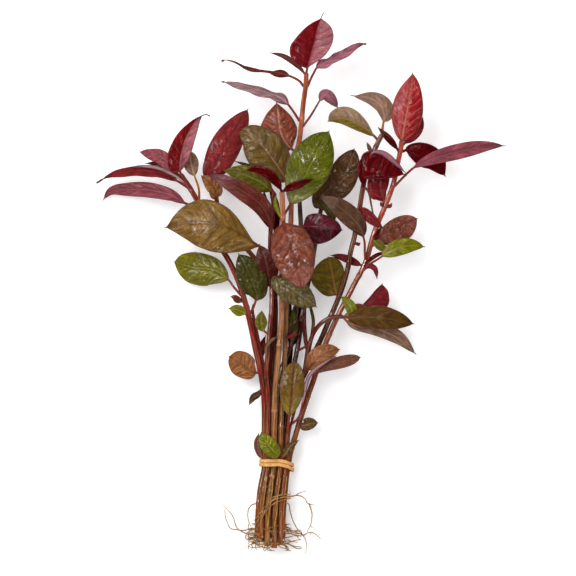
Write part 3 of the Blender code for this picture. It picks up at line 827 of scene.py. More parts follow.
class LeafKind(Enum):
    """The kinds of leaf in the bunch."""

    # right is a painted mauve sheen on the half of the folded blade that faces the light.
    TOP = LeafFinish((112, 14, 20), (94, 8, 14), right=(160, 98, 104), under=(164, 112, 120),
      rim=(140, 60, 70))
    CRIMSON = LeafFinish((128, 36, 38), (96, 16, 22), vein=(150, 64, 62), spine=0.35)
    # right is a painted mauve sheen on the half of the folded blade that faces the light.
    FOLDED = LeafFinish((118, 12, 12), (100, 8, 10), right=(150, 90, 96), vein=(160, 90, 96))
    # upper is partly the leaf's red and partly a painted pink sheen on the left half, which faces the
    # light; right is the deep red.
    RED = LeafFinish((164, 68, 68), (142, 26, 30), right=(150, 6, 12), vein=(210, 116, 108),
      rib=(206, 104, 70), veins=0.75, spine=0.9, wrinkle=0.6, rough=0.1, coat=0.5, shine=0.65)
    DARK_RED = LeafFinish((68, 1, 1), (80, 2, 2), rim=(56, 4, 8), stalk=(64, 10, 10), veins=0.1, spine=0.3,
      wrinkle=0.18)
    MAROON = LeafFinish((88, 3, 9), (66, 1, 4), rim=(104, 40, 50), stalk=(84, 12, 16), veins=0.1,
      spine=0.3, wrinkle=0.2)
    MAUVE = LeafFinish((158, 100, 112), (140, 80, 92), tip=(98, 40, 52), vein=(176, 120, 130))
    GREY_MAUVE = LeafFinish((152, 120, 122), (132, 92, 94), base=(110, 70, 74), under=(144, 104, 108))
    ROSE = LeafFinish((148, 72, 84), (118, 52, 54), vein=(170, 100, 110), spine=0.4)
    MAUVE_BROWN = LeafFinish((102, 46, 38), (82, 28, 18), base=(84, 24, 16), tip=(132, 86, 94),
      vein=(122, 66, 62))
    # tip is a painted pinkish sheen: the gloss on the bent-down end of the blade.
    RED_BROWN = LeafFinish((126, 62, 42), (104, 48, 30), tip=(160, 98, 86), vein=(92, 34, 20),
      rib=(98, 34, 22), wrinkle=0.7, rough=0.1, coat=0.5, shine=0.75)
    BROWN_BACK = LeafFinish((142, 72, 50), (113, 43, 26), rib=(206, 149, 118), vein=(190, 129, 102),
      wrinkle=0.7, coat=0.5, veins=0.4, shine=0.4)
    DEEP_BROWN = LeafFinish((92, 34, 26), (66, 18, 12), tip=(110, 72, 72), vein=(116, 58, 48), wrinkle=0.4)
    RED_STALK = LeafFinish((96, 30, 22), (70, 16, 14), stalk=(92, 28, 20), shine=0.3)
    DARK_STALK = LeafFinish((44, 16, 10), (34, 10, 6), stalk=(42, 14, 9), shine=0.3)
    OLIVE_STALK = LeafFinish((74, 60, 24), (58, 46, 16), stalk=(70, 58, 24), shine=0.3)
    BROWN_STALK = LeafFinish((104, 62, 26), (84, 44, 16), stalk=(104, 62, 26))
    DUSKY = LeafFinish((126, 80, 60), (108, 62, 46), vein=(140, 96, 76))
    BRONZE = LeafFinish((93, 59, 31), (68, 40, 15), vein=(133, 95, 62), wrinkle=0.7, coat=0.4, shine=0.35)
    BROWN = LeafFinish((90, 60, 40), (66, 38, 26), tip=(128, 102, 88), base=(56, 26, 20),
      vein=(108, 80, 60))
    OLIVE = LeafFinish((100, 76, 32), (82, 58, 20), vein=(128, 102, 60), rib=(160, 110, 84), wrinkle=0.4,
      shine=0.4)
    OLIVE_TWO = LeafFinish((112, 92, 34), (100, 80, 26), right=(134, 106, 86), rim=(150, 130, 96),
      wrinkle=0.4)
    FRONT = LeafFinish((112, 82, 30), (92, 64, 18), base=(146, 124, 42), vein=(84, 50, 18),
      rib=(84, 26, 18), spine=0.9, veins=0.5, shine=0.3)
    OLIVE_RED = LeafFinish((122, 90, 32), (100, 68, 26), vein=(92, 48, 22), rib=(90, 40, 24),
      rim=(90, 34, 24), veins=0.4, wrinkle=0.45, shine=0.35)
    OLIVE_BROWN = LeafFinish((88, 60, 24), (70, 44, 14), rim=(104, 40, 28), vein=(104, 76, 40))
    GREY_BROWN = LeafFinish((142, 110, 92), (122, 88, 68), rim=(112, 100, 52), under=(140, 120, 104),
      stalk=(150, 88, 40))
    # base is a painted pale sheen: the gloss on the blade's lower part near the stalk.
    GREEN = LeafFinish((92, 96, 12), (76, 78, 6), base=(140, 136, 84), vein=(132, 132, 50), wrinkle=0.95,
      rough=0.09, coat=0.6, shine=0.55)
    LIME = LeafFinish((118, 118, 10), (100, 98, 6), vein=(144, 142, 44), base=(150, 136, 50), shine=0.3)
    LEAF_GREEN = LeafFinish((112, 106, 18), (82, 78, 12), vein=(126, 120, 46), rim=(140, 138, 76),
      shine=0.3)
    DARK_GREEN = LeafFinish((66, 60, 10), (44, 40, 6), vein=(84, 78, 30), wrinkle=0.5, coat=0.4, shine=0.3)
    OLIVE_GREEN = LeafFinish((105, 86, 20), (79, 61, 14), rib=(175, 105, 64), vein=(125, 105, 39))
    PALE_GREEN = LeafFinish((104, 90, 48), (80, 64, 28), vein=(134, 122, 84), wrinkle=0.95, coat=0.6,
      shine=0.7)
    # right is painted shade on the half of the folded blade that faces away from the light.
    PURPLE = LeafFinish((96, 26, 39), (81, 17, 31), right=(53, 8, 16), vein=(117, 50, 61), coat=0.4,
      shine=0.25)
    ORANGE = LeafFinish((146, 86, 50), (126, 78, 22), rim=(150, 70, 50), vein=(104, 50, 22), wrinkle=0.5,
      shine=0.5)


@dataclass(frozen=True)
class Leaf:
    """A stalk and blade on a route from a node of a stem to the tip, with its finish.

    left and right are the half widths of the blade, seen from above and looking to the tip. slot is
    the material slot of a leaf that stands for no node of the frame, and tone from 0 to 1 leads from
    the finish's first colour to its second. stalk and tail are the bare ends' shares of the length.
    fold is the angle in degrees at which each half leaves the midrib, curl the angle it bends by on
    its way to the margin, roll the turn of the whole blade about the midrib, and twist its turn from
    base to tip. peak is where the blade is widest and point how pointed its ends are, from 0.5 for
    round to 1 for a wedge. peak_right and point_right are those of the right half where it differs.
    wave, quilt and warp are heights in millimetres: of the margin's waves, of the swelling between
    veins and of the blade's own unevenness. waves and veins are their numbers along the blade.
    """

    name: str
    stem: str
    node_y: float
    route: tuple[Point, ...]
    left: float
    right: float
    kind: LeafKind
    slot: str = ""
    tone: float = 0.5
    stalk: float = 0.08
    tail: float = 0.03
    fold: float = 0.0
    curl: float = -12.0
    roll: float = 0.0
    twist: float = 0.0
    peak: float = 0.45
    peak_right: float = 0.0
    point: float = 0.8
    point_right: float = 0.0
    wave: float = 0.35
    waves: float = 2.6
    quilt: float = 0.16
    warp: float = 1.2
    veins: float = 7.0


@dataclass(frozen=True)
class Leaflet(Leaf):
    """A small leaf or bud between the others, more even than a large leaf."""

    wave: float = 0.2
    warp: float = 0.3


@dataclass(frozen=True)
class Strand(Leaflet):
    """A narrow strip that runs up between the stems, such as a bare stalk."""

    stalk: float = 0.02
    tail: float = 0.0
    point: float = 0.25
    wave: float = 0.0
    warp: float = 0.1


BAND_Y = -79.1
BUNDLE_LEAN = {-114.0: -3.0, -104.0: -2.8, -92.0: -1.9, BAND_Y: 0.0}

STEMS = (
    Stem("stem_left", 2.8, (-10.3, 5.4), ((-10.6, -66, 6.2), (-10.8, -50, 7), (-12.4, -38, 8),
      (-14.6, -28, 9), (-16.6, -18, 10), (-18.4, -10, 10.6), (-20.4, -3, 11), (-22.8, 4, 11),
      (-26, 11, 11), (-30, 18, 11), (-35, 28, 11.3), (-40.2, 38, 12), (-44.5, 45.5, 14), (-48.3, 51, 16))),
    Stem("stem_left_back", 2.4, (-7.6, 5.4), ((-7.8, -66, 5.4), (-7.4, -50, 5.2), (-7, -38, 5),
      (-6.2, -26, 5), (-5.6, -14, 5.2), (-6, -3, 5.6), (-8.5, 5, 6), (-13, 11, 6.3), (-19, 18, 6.8),
      (-25, 25, 7.5), (-30, 33, 8.8), (-32.3, 40, 10.2), (-32.6, 47, 12))),
    Stem("stem_inner_left", 2.4, (-8.95, 8.0), ((-9.2, -66, 9.2), (-8.9, -50, 10), (-9.6, -38, 10.8),
      (-9, -28, 11), (-8.2, -18, 11), (-7.4, -8, 11), (-7.4, 4, 10.6), (-8, 16, 11), (-7.8, 26, 12),
      (-6.8, 36, 12.5), (-6.3, 43, 13))),
    Stem("stem_front", 2.8, (-6.3, 8.0), ((-6.2, -66, 9.8), (-5.9, -50, 11.5), (-5, -38, 12.5),
      (-3.9, -26, 13), (-3, -15, 13.3), (-2.7, -6, 13.8), (-2.8, 2, 15.6), (-2.7, 10, 18.5),
      (-2.5, 20, 23), (-2.3, 30, 27), (-2.4, 37, 28.5), (-2.7, 43, 29.5))),
    Stem("stem_top", 2.6, (-3.3, 8.0), ((-3.2, -66, 8.8), (-2.6, -50, 8.6), (-1.8, -38, 8.8),
      (-1.2, -26, 9), (-0.9, -12, 9.4), (-0.2, 2, 9.8), (0.6, 15, 10.3), (1.2, 27, 10.8), (1.5, 38, 11.5),
      (1.8, 48, 12.5), (3, 58, 14), (5, 66, 15.2), (6, 74, 16.5), (7, 84, 18.5), (8, 91, 20),
      (8.2, 96.5, 21))),
    Stem("stem_inner_right", 2.4, (-5.05, 5.4), ((-4.7, -66, 5.8), (-4.2, -50, 5.4), (-3.2, -38, 5.2),
      (-1, -32, 5.4), (1.5, -26, 6), (3, -18, 6.6), (4, -6, 7.2), (5, 6, 7.8), (5.8, 18, 8.6),
      (5.8, 28, 9.4), (5.4, 36, 10), (5, 44, 10.5))),
    Stem("stem_middle_right", 2.4, (-2.5, 5.4), ((-1.6, -66, 5.7), (-0.5, -56, 5.6), (0.8, -46, 5.4),
      (2.2, -38, 5.4), (3.7, -30, 5.4), (5.2, -22, 5.6), (6.4, -12, 6), (8.2, -2, 6.2), (10.4, 8, 6.3),
      (12, 18, 7), (13.6, 28, 9), (15, 36, 11.5), (16.5, 41, 13))),
    Stem("stem_low_right", 2.3, (-0.75, 8.0), ((0, -66, 8.8), (2.4, -56, 8.8), (5, -46, 9.2),
      (7.4, -38, 9.8), (8.6, -30, 10.6), (9.8, -25, 11.4), (11.8, -19.8, 13), (15, -15.8, 14.8),
      (19, -13.4, 16), (22, -12.9, 16.3), (24.6, -12.9, 16.2))),
    Stem("stem_right", 2.6, (-3.7, 3.0), ((-2.6, -66, 2.8), (0.5, -56, 2.6), (4.2, -46, 2.8), (8, -38, 4),
      (11.6, -30, 6), (15, -23, 8), (18.4, -15, 9.4), (21.8, -7, 10.6), (24.8, 1, 11.8), (27, 9, 12.8),
      (28.2, 16, 13.4), (30.2, 24, 14), (32, 34, 15), (33.4, 43, 16), (35.2, 52, 17), (38, 60, 18),
      (40.5, 65.5, 18.5), (42.3, 69, 19))),
    Stem("stem_right_tall", 2.6, (0.15, 5.4), ((3, -68, 5.7), (6, -58, 6.6), (8.6, -50, 7.2),
      (11.4, -42, 8), (14, -34, 9.2), (17, -25, 11), (20.2, -17.5, 12.3), (23.5, -10.5, 13),
      (27, -4, 13.6), (30.3, 2.5, 14.2), (33.8, 9, 14.8), (36, 14.5, 15.3), (37.6, 21, 15.8),
      (40, 28, 16.4), (43, 35, 17.4), (46, 42.5, 18.4), (48, 49, 19.2), (49.6, 57, 20), (50.8, 63, 20.8),
      (51, 66, 21.2))),
)

LEAVES = (
    Leaf("leaf_top_large", "stem_top", 96.5, ((9.2, 101, 22), (11.3, 108, 24), (13, 116, 25.5),
      (14.7, 121, 25), (16.2, 124, 24)), 10.5, 8.5, LeafKind.TOP, tone=0.35, wave=0.5, warp=1.6, stalk=0.1,
      tail=0.12, fold=22, peak=0.34, peak_right=0.66),
    Leaf("leaf_top_right", "stem_top", 90.5, ((11.3, 96.2, 20.5), (14, 100, 21), (21.5, 103.9, 20),
      (27.5, 107.6, 17), (32.3, 110.2, 14), (35.6, 110, 12)), 4.6, 4.6, LeafKind.MAUVE, wave=0.3,
      stalk=0.26, roll=62),
    Leaf("leaf_top_left", "stem_top", 90.5, ((4.5, 93.6, 20), (-2, 96.3, 20), (-10, 97.7, 18),
      (-18, 99.3, 15), (-24, 102, 12), (-28, 103, 10), (-30.3, 102.4, 9)), 4, 4, LeafKind.MAUVE_BROWN,
      tone=0.3, wave=0.3, stalk=0.2, roll=-78),
    Leaf("leaf_upper_left", "stem_top", 74.5, ((2.6, 79.2, 17.5), (-1, 83.8, 18.5), (-5, 86.3, 18.5),
      (-14, 89.3, 16), (-23, 91.9, 13), (-30.2, 93.3, 10)), 4.6, 4.6, LeafKind.GREY_MAUVE, wave=0.3,
      stalk=0.22, roll=-62),
    Leaf("leaf_upper_right", "stem_top", 72.5, ((10.5, 78, 18), (14.3, 84.3, 20.5), (16.5, 87, 20.5),
      (19.5, 85, 18), (22.8, 80.8, 14.5)), 2.8, 2.5, LeafKind.MAUVE, tone=0.4, wave=0.3, warp=0.6,
      stalk=0.5),
    Leaf("leaf_brown_back", "stem_top", 61.0, ((-0.5, 65, 14.6), (-3.2, 70, 14.2), (-4.4, 77, 13.5),
      (-5.2, 84.2, 12.5)), 9.5, 8, LeafKind.BROWN_BACK, wave=0.6, quilt=0.35, fold=-8, peak=0.42),
    Leaf("leaf_olive_back", "stem_top", 47.0, ((-1.5, 50, 16.5), (-5.5, 56, 18.6), (-11, 63.5, 19),
      (-17, 68.5, 18.2), (-22.8, 70.5, 16.8)), 10, 8.6, LeafKind.OLIVE, wave=0.5, quilt=0.35, peak=0.5,
      point=0.65),
    Leaf("leaf_green", "stem_front", 33.0, ((1, 37.5, 26.5), (5, 45, 27.5), (10.5, 56, 26.5),
      (15, 65, 23.5), (18.8, 71.2, 20)), 10, 9.7, LeafKind.GREEN, wave=0.5, quilt=0.3, veins=8.0,
      stalk=0.12, peak=0.52),
    Leaf("leaf_crimson_left", "stem_left_back", 47.0, ((-34, 51.5, 13), (-31.5, 57, 14), (-26.3, 67, 15),
      (-21.6, 74.6, 14), (-17.8, 81.2, 12.5)), 7.2, 6.8, LeafKind.CRIMSON, tone=0.3, wave=0.4, quilt=0.2,
      stalk=0.03, fold=-4, point=0.62),
    Leaf("leaf_left_folded", "stem_left", 51.0, ((-48.8, 54.5, 18.5), (-48, 60, 20.5), (-45.8, 67.5, 22.5),
      (-41.5, 75, 22), (-37.5, 78, 20.5), (-34.8, 77.2, 19.5)), 6.4, 4.6, LeafKind.FOLDED, wave=0.4,
      tail=0.12, fold=25, peak=0.24, peak_right=0.45),
    Leaf("leaf_left_rose", "stem_left", 49.0, ((-52.5, 54.5, 16.5), (-57, 59, 15.5), (-62.5, 60.6, 13.5),
      (-67.3, 61.5, 10.5)), 3.5, 3.2, LeafKind.ROSE, tone=0.35, wave=0.3, warp=0.8, stalk=0.16,
      point=0.65),
    Leaf("leaf_left_long", "stem_left", 45.5, ((-49.5, 48, 14.5), (-56, 51.3, 15.5), (-66, 52.6, 13.5),
      (-76, 51.8, 9.5), (-82, 50.2, 6.5), (-87, 47.3, 3.5)), 3.4, 3.4, LeafKind.CRIMSON, tone=0.6,
      wave=0.3, warp=0.8, stalk=0.12, tail=0.08, roll=-40, fold=12),
    Leaf("leaf_left_lower", "stem_left", 36.5, ((-46.5, 38.3, 12.5), (-53, 42, 12.5), (-63, 44.3, 10),
      (-73, 44.6, 6.5), (-80, 44, 3.5), (-84.4, 39.4, 0.5)), 3.5, 3.5, LeafKind.ROSE, tone=0.75, wave=0.4,
      warp=0.6, stalk=0.14, fold=10, point=0.65),
    Leaf("leaf_left_round", "stem_left", 39.0, ((-40.3, 45, 15), (-42.3, 51, 16), (-43.8, 56.5, 15.5),
      (-44, 62, 12.5)), 3.5, 3.5, LeafKind.GREY_BROWN, tone=0.8, wave=0.3, warp=0.6, stalk=0.5, peak=0.55,
      point=0.55),
    Leaf("leaf_olive_large", "stem_inner_left", 16.0, ((-14, 19.5, 17.5), (-22, 24.8, 20), (-31, 28.4, 21),
      (-42, 29.4, 19), (-50, 28.8, 16), (-56.5, 27, 13)), 12.6, 10.8, LeafKind.OLIVE_RED, wave=0.6,
      quilt=0.25, veins=9.0, warp=1.8, stalk=0.14, peak=0.45, peak_right=0.6, point=0.85, point_right=1.7),
    Leaf("leaf_green_back", "stem_inner_left", 43.0, ((-9.5, 45.5, 15), (-15, 49, 16.5), (-22, 51.8, 17),
      (-29.3, 53, 16)), 5, 4.8, LeafKind.LEAF_GREEN, tone=0.8, wave=0.4),
    Leaf("leaf_mauve_long", "stem_inner_left", 24.0, ((-7.8, 28.5, 17), (-12, 37, 21.5), (-20, 43.3, 22),
      (-29, 48.3, 21), (-37.3, 51.4, 19)), 4.4, 4.4, LeafKind.MAUVE_BROWN, wave=0.4, fold=18, point=0.75),
    Leaf("leaf_dark_left", "stem_front", 43.0, ((-5, 47.3, 31), (-9, 51, 31.5), (-14, 53.2, 30),
      (-19.2, 52.6, 27.5)), 2.6, 2.6, LeafKind.DARK_RED, wave=0.2, warp=0.5, fold=25),
    Leaf("leaf_dark_right", "stem_front", 43.0, ((0.3, 45, 31), (4, 46.4, 32.5), (8, 47.8, 33),
      (11.7, 48.7, 33)), 1.7, 2.3, LeafKind.DARK_RED, tone=0.3, wave=0.2, warp=0.5, fold=20),
    Leaf("leaf_brown_front", "stem_front", 30.0, ((-1.2, 26, 32.5), (0.8, 21, 34), (3.2, 13, 34.5),
      (5.2, 5, 32), (6.2, -0.8, 28.5)), 9.7, 9.7, LeafKind.RED_BROWN, wave=0.7, quilt=0.45, warp=1.6,
      stalk=0.06, point=0.68),
    Leaf("leaf_bronze", "stem_middle_right", 41.0, ((20, 43.5, 14.2), (24.5, 49, 15.5), (28, 57, 15.5),
      (30, 63.2, 14)), 7, 6.4, LeafKind.BRONZE, wave=0.4, quilt=0.4, stalk=0.04, peak=0.5, peak_right=0.4,
      point=0.62, point_right=0.5),
    Leaf("leaf_grey_right", "stem_right", 69.0, ((42.7, 73, 20), (43.2, 77.5, 21.5), (41.6, 82, 22.5),
      (36.5, 85.4, 21.5), (28, 86.7, 19)), 3, 5, LeafKind.GREY_BROWN, tone=0.4, wave=0.3, warp=0.8,
      stalk=0.22, tail=0.05, peak_right=0.3, point_right=0.95),
    Leaf("leaf_olive_right", "stem_right", 66.5, ((37.5, 69.6, 20), (33, 72.8, 21), (26, 76, 20),
      (21, 76.2, 18.5), (17.6, 74.8, 17)), 3, 5.6, LeafKind.OLIVE_TWO, wave=0.3, warp=0.8, fold=10,
      peak=0.5, peak_right=0.64, point=0.7, point_right=1.1),
    Leaf("leaf_red_tall", "stem_right_tall", 66.0, ((51.6, 69.5, 22.5), (52.8, 76, 24.5), (54.3, 85, 25.5),
      (55.6, 92, 24.5), (55.9, 97, 22.5)), 7, 7.6, LeafKind.RED, tone=0.4, wave=0.5, quilt=0.5, veins=8.0,
      warp=1.6, stalk=0.02, fold=-8, peak=0.46, peak_right=0.4, point_right=0.62),
    Leaf("leaf_maroon_right", "stem_right_tall", 61.5, ((54.5, 62.3, 19), (60, 61, 18.5), (66.5, 57.5, 15),
      (71.2, 50.3, 9.5)), 5.2, 6.2, LeafKind.MAROON, tone=0.4, wave=0.3, warp=0.8, fold=-8, point=0.72),
    Leaf("leaf_pink_long", "stem_right_tall", 45.5, ((52, 50, 21), (57.5, 54.7, 22), (66, 58.5, 22),
      (78, 61.8, 17), (90, 64.2, 8), (99.2, 64.5, 0.6)), 3.6, 3.6, LeafKind.ROSE, tone=0.2, wave=0.4,
      stalk=0.2, fold=15),
    Leaf("leaf_hood", "stem_right", 49.5, ((34.4, 49.7, 21.6), (37.8, 50.5, 22.8), (42, 50.3, 23.6),
      (47, 50.4, 23.8), (52.8, 51.2, 23)), 11.5, 1.4, LeafKind.MAROON, wave=0.4, warp=0.8, stalk=0.19,
      peak=0.25, point=0.5),
    Leaf("leaf_crimson_right", "stem_right_tall", 37.0, ((42.8, 40.5, 18.8), (41.6, 44, 19),
      (41.4, 50, 19), (41.6, 57, 18.8)), 5.8, 4.4, LeafKind.CRIMSON, tone=0.8, wave=0.3, stalk=0.1,
      peak=0.42, peak_right=0.64, point=0.7),
    Leaf("leaf_brown_long", "stem_right_tall", 12.5, ((34.6, 16.5, 18), (34.2, 22, 19.5),
      (31.5, 28.5, 21.5), (25, 35, 22), (18.5, 39.3, 21.5), (12.8, 41.6, 20)), 4.8, 4.6, LeafKind.BROWN,
      wave=0.4, stalk=0.28, peak=0.42),
    Leaf("leaf_crimson_middle", "stem_right", 37.0, ((33.4, 35.3, 18.7), (36, 32.6, 20.5),
      (39.6, 29.4, 20.8), (43, 26.6, 20)), 2.4, 2.6, LeafKind.CRIMSON, wave=0.2, warp=0.5, fold=10),
    Leaf("leaf_purple", "stem_inner_right", 28.0, ((9.5, 27.8, 14), (15, 27.6, 15.2), (20.5, 27, 15),
      (24.8, 26, 13.5)), 6, 8, LeafKind.PURPLE, wave=0.4, quilt=0.25, fold=8, peak=0.38, point=0.56),
    Leaf("leaf_redbrown_right", "stem_right_tall", 19.0, ((42, 22.5, 17), (48, 26.5, 17.5),
      (54, 29.5, 15.5), (58.6, 31.5, 13)), 4.5, 7, LeafKind.RED_BROWN, tone=0.6, wave=0.4, quilt=0.2,
      stalk=0.1, peak=0.55, point=0.62),
    Leaf("leaf_yellow_green", "stem_right_tall", 9.5, ((40.5, 13, 19.5), (44.5, 15.8, 21.5),
      (50, 18.3, 22.5), (56, 19.2, 21), (61.8, 18.5, 18.5)), 3.8, 3.8, LeafKind.LIME, wave=0.3, warp=0.8,
      stalk=0.33, point=0.72),
    Leaf("leaf_crimson_low", "stem_right_tall", -7.0, ((30.5, -9.3, 12), (37, -6, 12), (41, -1, 11.5),
      (42.7, 2.2, 11)), 1.6, 7.5, LeafKind.CRIMSON, tone=0.7, wave=0.3, warp=0.6, stalk=0.36, peak=0.5,
      point=0.65),
    Leaf("leaf_olive_low", "stem_low_right", -12.9, ((28, -13.3, 17.2), (34, -13.2, 17.8),
      (42, -13.5, 17.3), (50, -14.8, 15), (57.3, -16.3, 12)), 5.6, 5.3, LeafKind.OLIVE_BROWN, wave=0.5,
      quilt=0.2, point=0.68),
    Leaf("leaf_low_under", "stem_low_right", -12.9, ((29, -16.5, 14), (40, -18.5, 12), (50, -23, 7),
      (58.3, -30.3, 0.6)), 4.2, 3.2, LeafKind.GREY_BROWN, tone=0.6, wave=0.3, warp=0.6, point=0.75),
    Leaf("leaf_green_middle", "stem_right", -4.0, ((21.4, -1, 10), (20.7, 3, 10.2), (19.6, 8.5, 10),
      (18, 14.4, 9.4)), 10, 5.6, LeafKind.OLIVE_GREEN, wave=0.4, quilt=0.2, stalk=0.05, peak=0.5,
      peak_right=0.6, point=0.55),
    Leaf("leaf_pale_middle", "stem_front", 6.5, ((-4.5, 3.6, 20), (1, 0, 20.6), (7.5, -4.6, 19.4),
      (13.2, -8.8, 17.4)), 6.3, 6.3, LeafKind.PALE_GREEN, wave=0.4, quilt=0.4, peak=0.42, point=0.66),
    Leaf("leaf_green_left", "stem_left", -12.0, ((-15.3, -8, 12.6), (-14.2, -3, 13.6), (-16, 2, 14.4),
      (-19, 9, 15), (-22.5, 15.8, 14)), 6, 7.4, LeafKind.DARK_GREEN, tone=0.4, wave=0.4, quilt=0.2,
      stalk=0.24, point=0.66),
    Leaf("leaf_green_far", "stem_left", -3.5, ((-24.5, 0.5, 11), (-28, 4.8, 9.8), (-34, 8.3, 8.5),
      (-43, 9.3, 6), (-52.2, 12, 0.9)), 8, 7.2, LeafKind.LEAF_GREEN, tone=0.4, wave=0.5, quilt=0.25,
      warp=0.6, stalk=0.25, peak=0.48, peak_right=0.62, point=0.66),
    Leaf("leaf_orange_left", "stem_left", -38.0, ((-16.8, -37.6, 8.4), (-20.2, -35, 7.6),
      (-23.5, -32.8, 5.5), (-26.8, -31, 3)), 5.8, 5.8, LeafKind.ORANGE, wave=0.3, quilt=0.2, warp=0.6,
      stalk=0.08, peak=0.52, point=0.5),
    Leaf("leaf_olive_front", "stem_low_right", -66.0, ((0.3, -61, 12.3), (0.8, -56, 13.2),
      (1.8, -47, 14.6), (2.6, -39, 14.8), (3.2, -32.2, 13.6)), 5.8, 5.4, LeafKind.FRONT, tone=0.4,
      wave=0.4, quilt=0.2, stalk=0.27, peak=0.55, point=0.62),
    Leaf("leaf_orange_right", "stem_low_right", -38.0, ((10.5, -35.5, 13.2), (14, -31.5, 15),
      (18.5, -29, 15.2), (23.7, -27.6, 13.5)), 5, 4, LeafKind.ORANGE, tone=0.4, wave=0.3, quilt=0.2,
      warp=0.6, stalk=0.12, point=0.65),
    Leaf("leaf_mauve_right", "stem_right_tall", -44.0, ((12.4, -39.5, 12), (16.5, -36, 13),
      (22, -33.8, 12), (28, -32.3, 9.5), (33.2, -31.2, 7)), 2.6, 3.1, LeafKind.DUSKY, tone=0.4, wave=0.2,
      warp=0.6, stalk=0.25, peak=0.6, point=0.62),
    Leaf("leaf_green_band", "stem_top", -76.3, ((-5, -74.8, 12), (-8, -71.8, 13.4), (-10.8, -68, 13.2),
      (-12.2, -65, 12.2)), 3.9, 3.7, LeafKind.LIME, tone=0.2, wave=0.3, quilt=0.3, warp=0.6, stalk=0.06,
      peak=0.5, point=0.6),
)


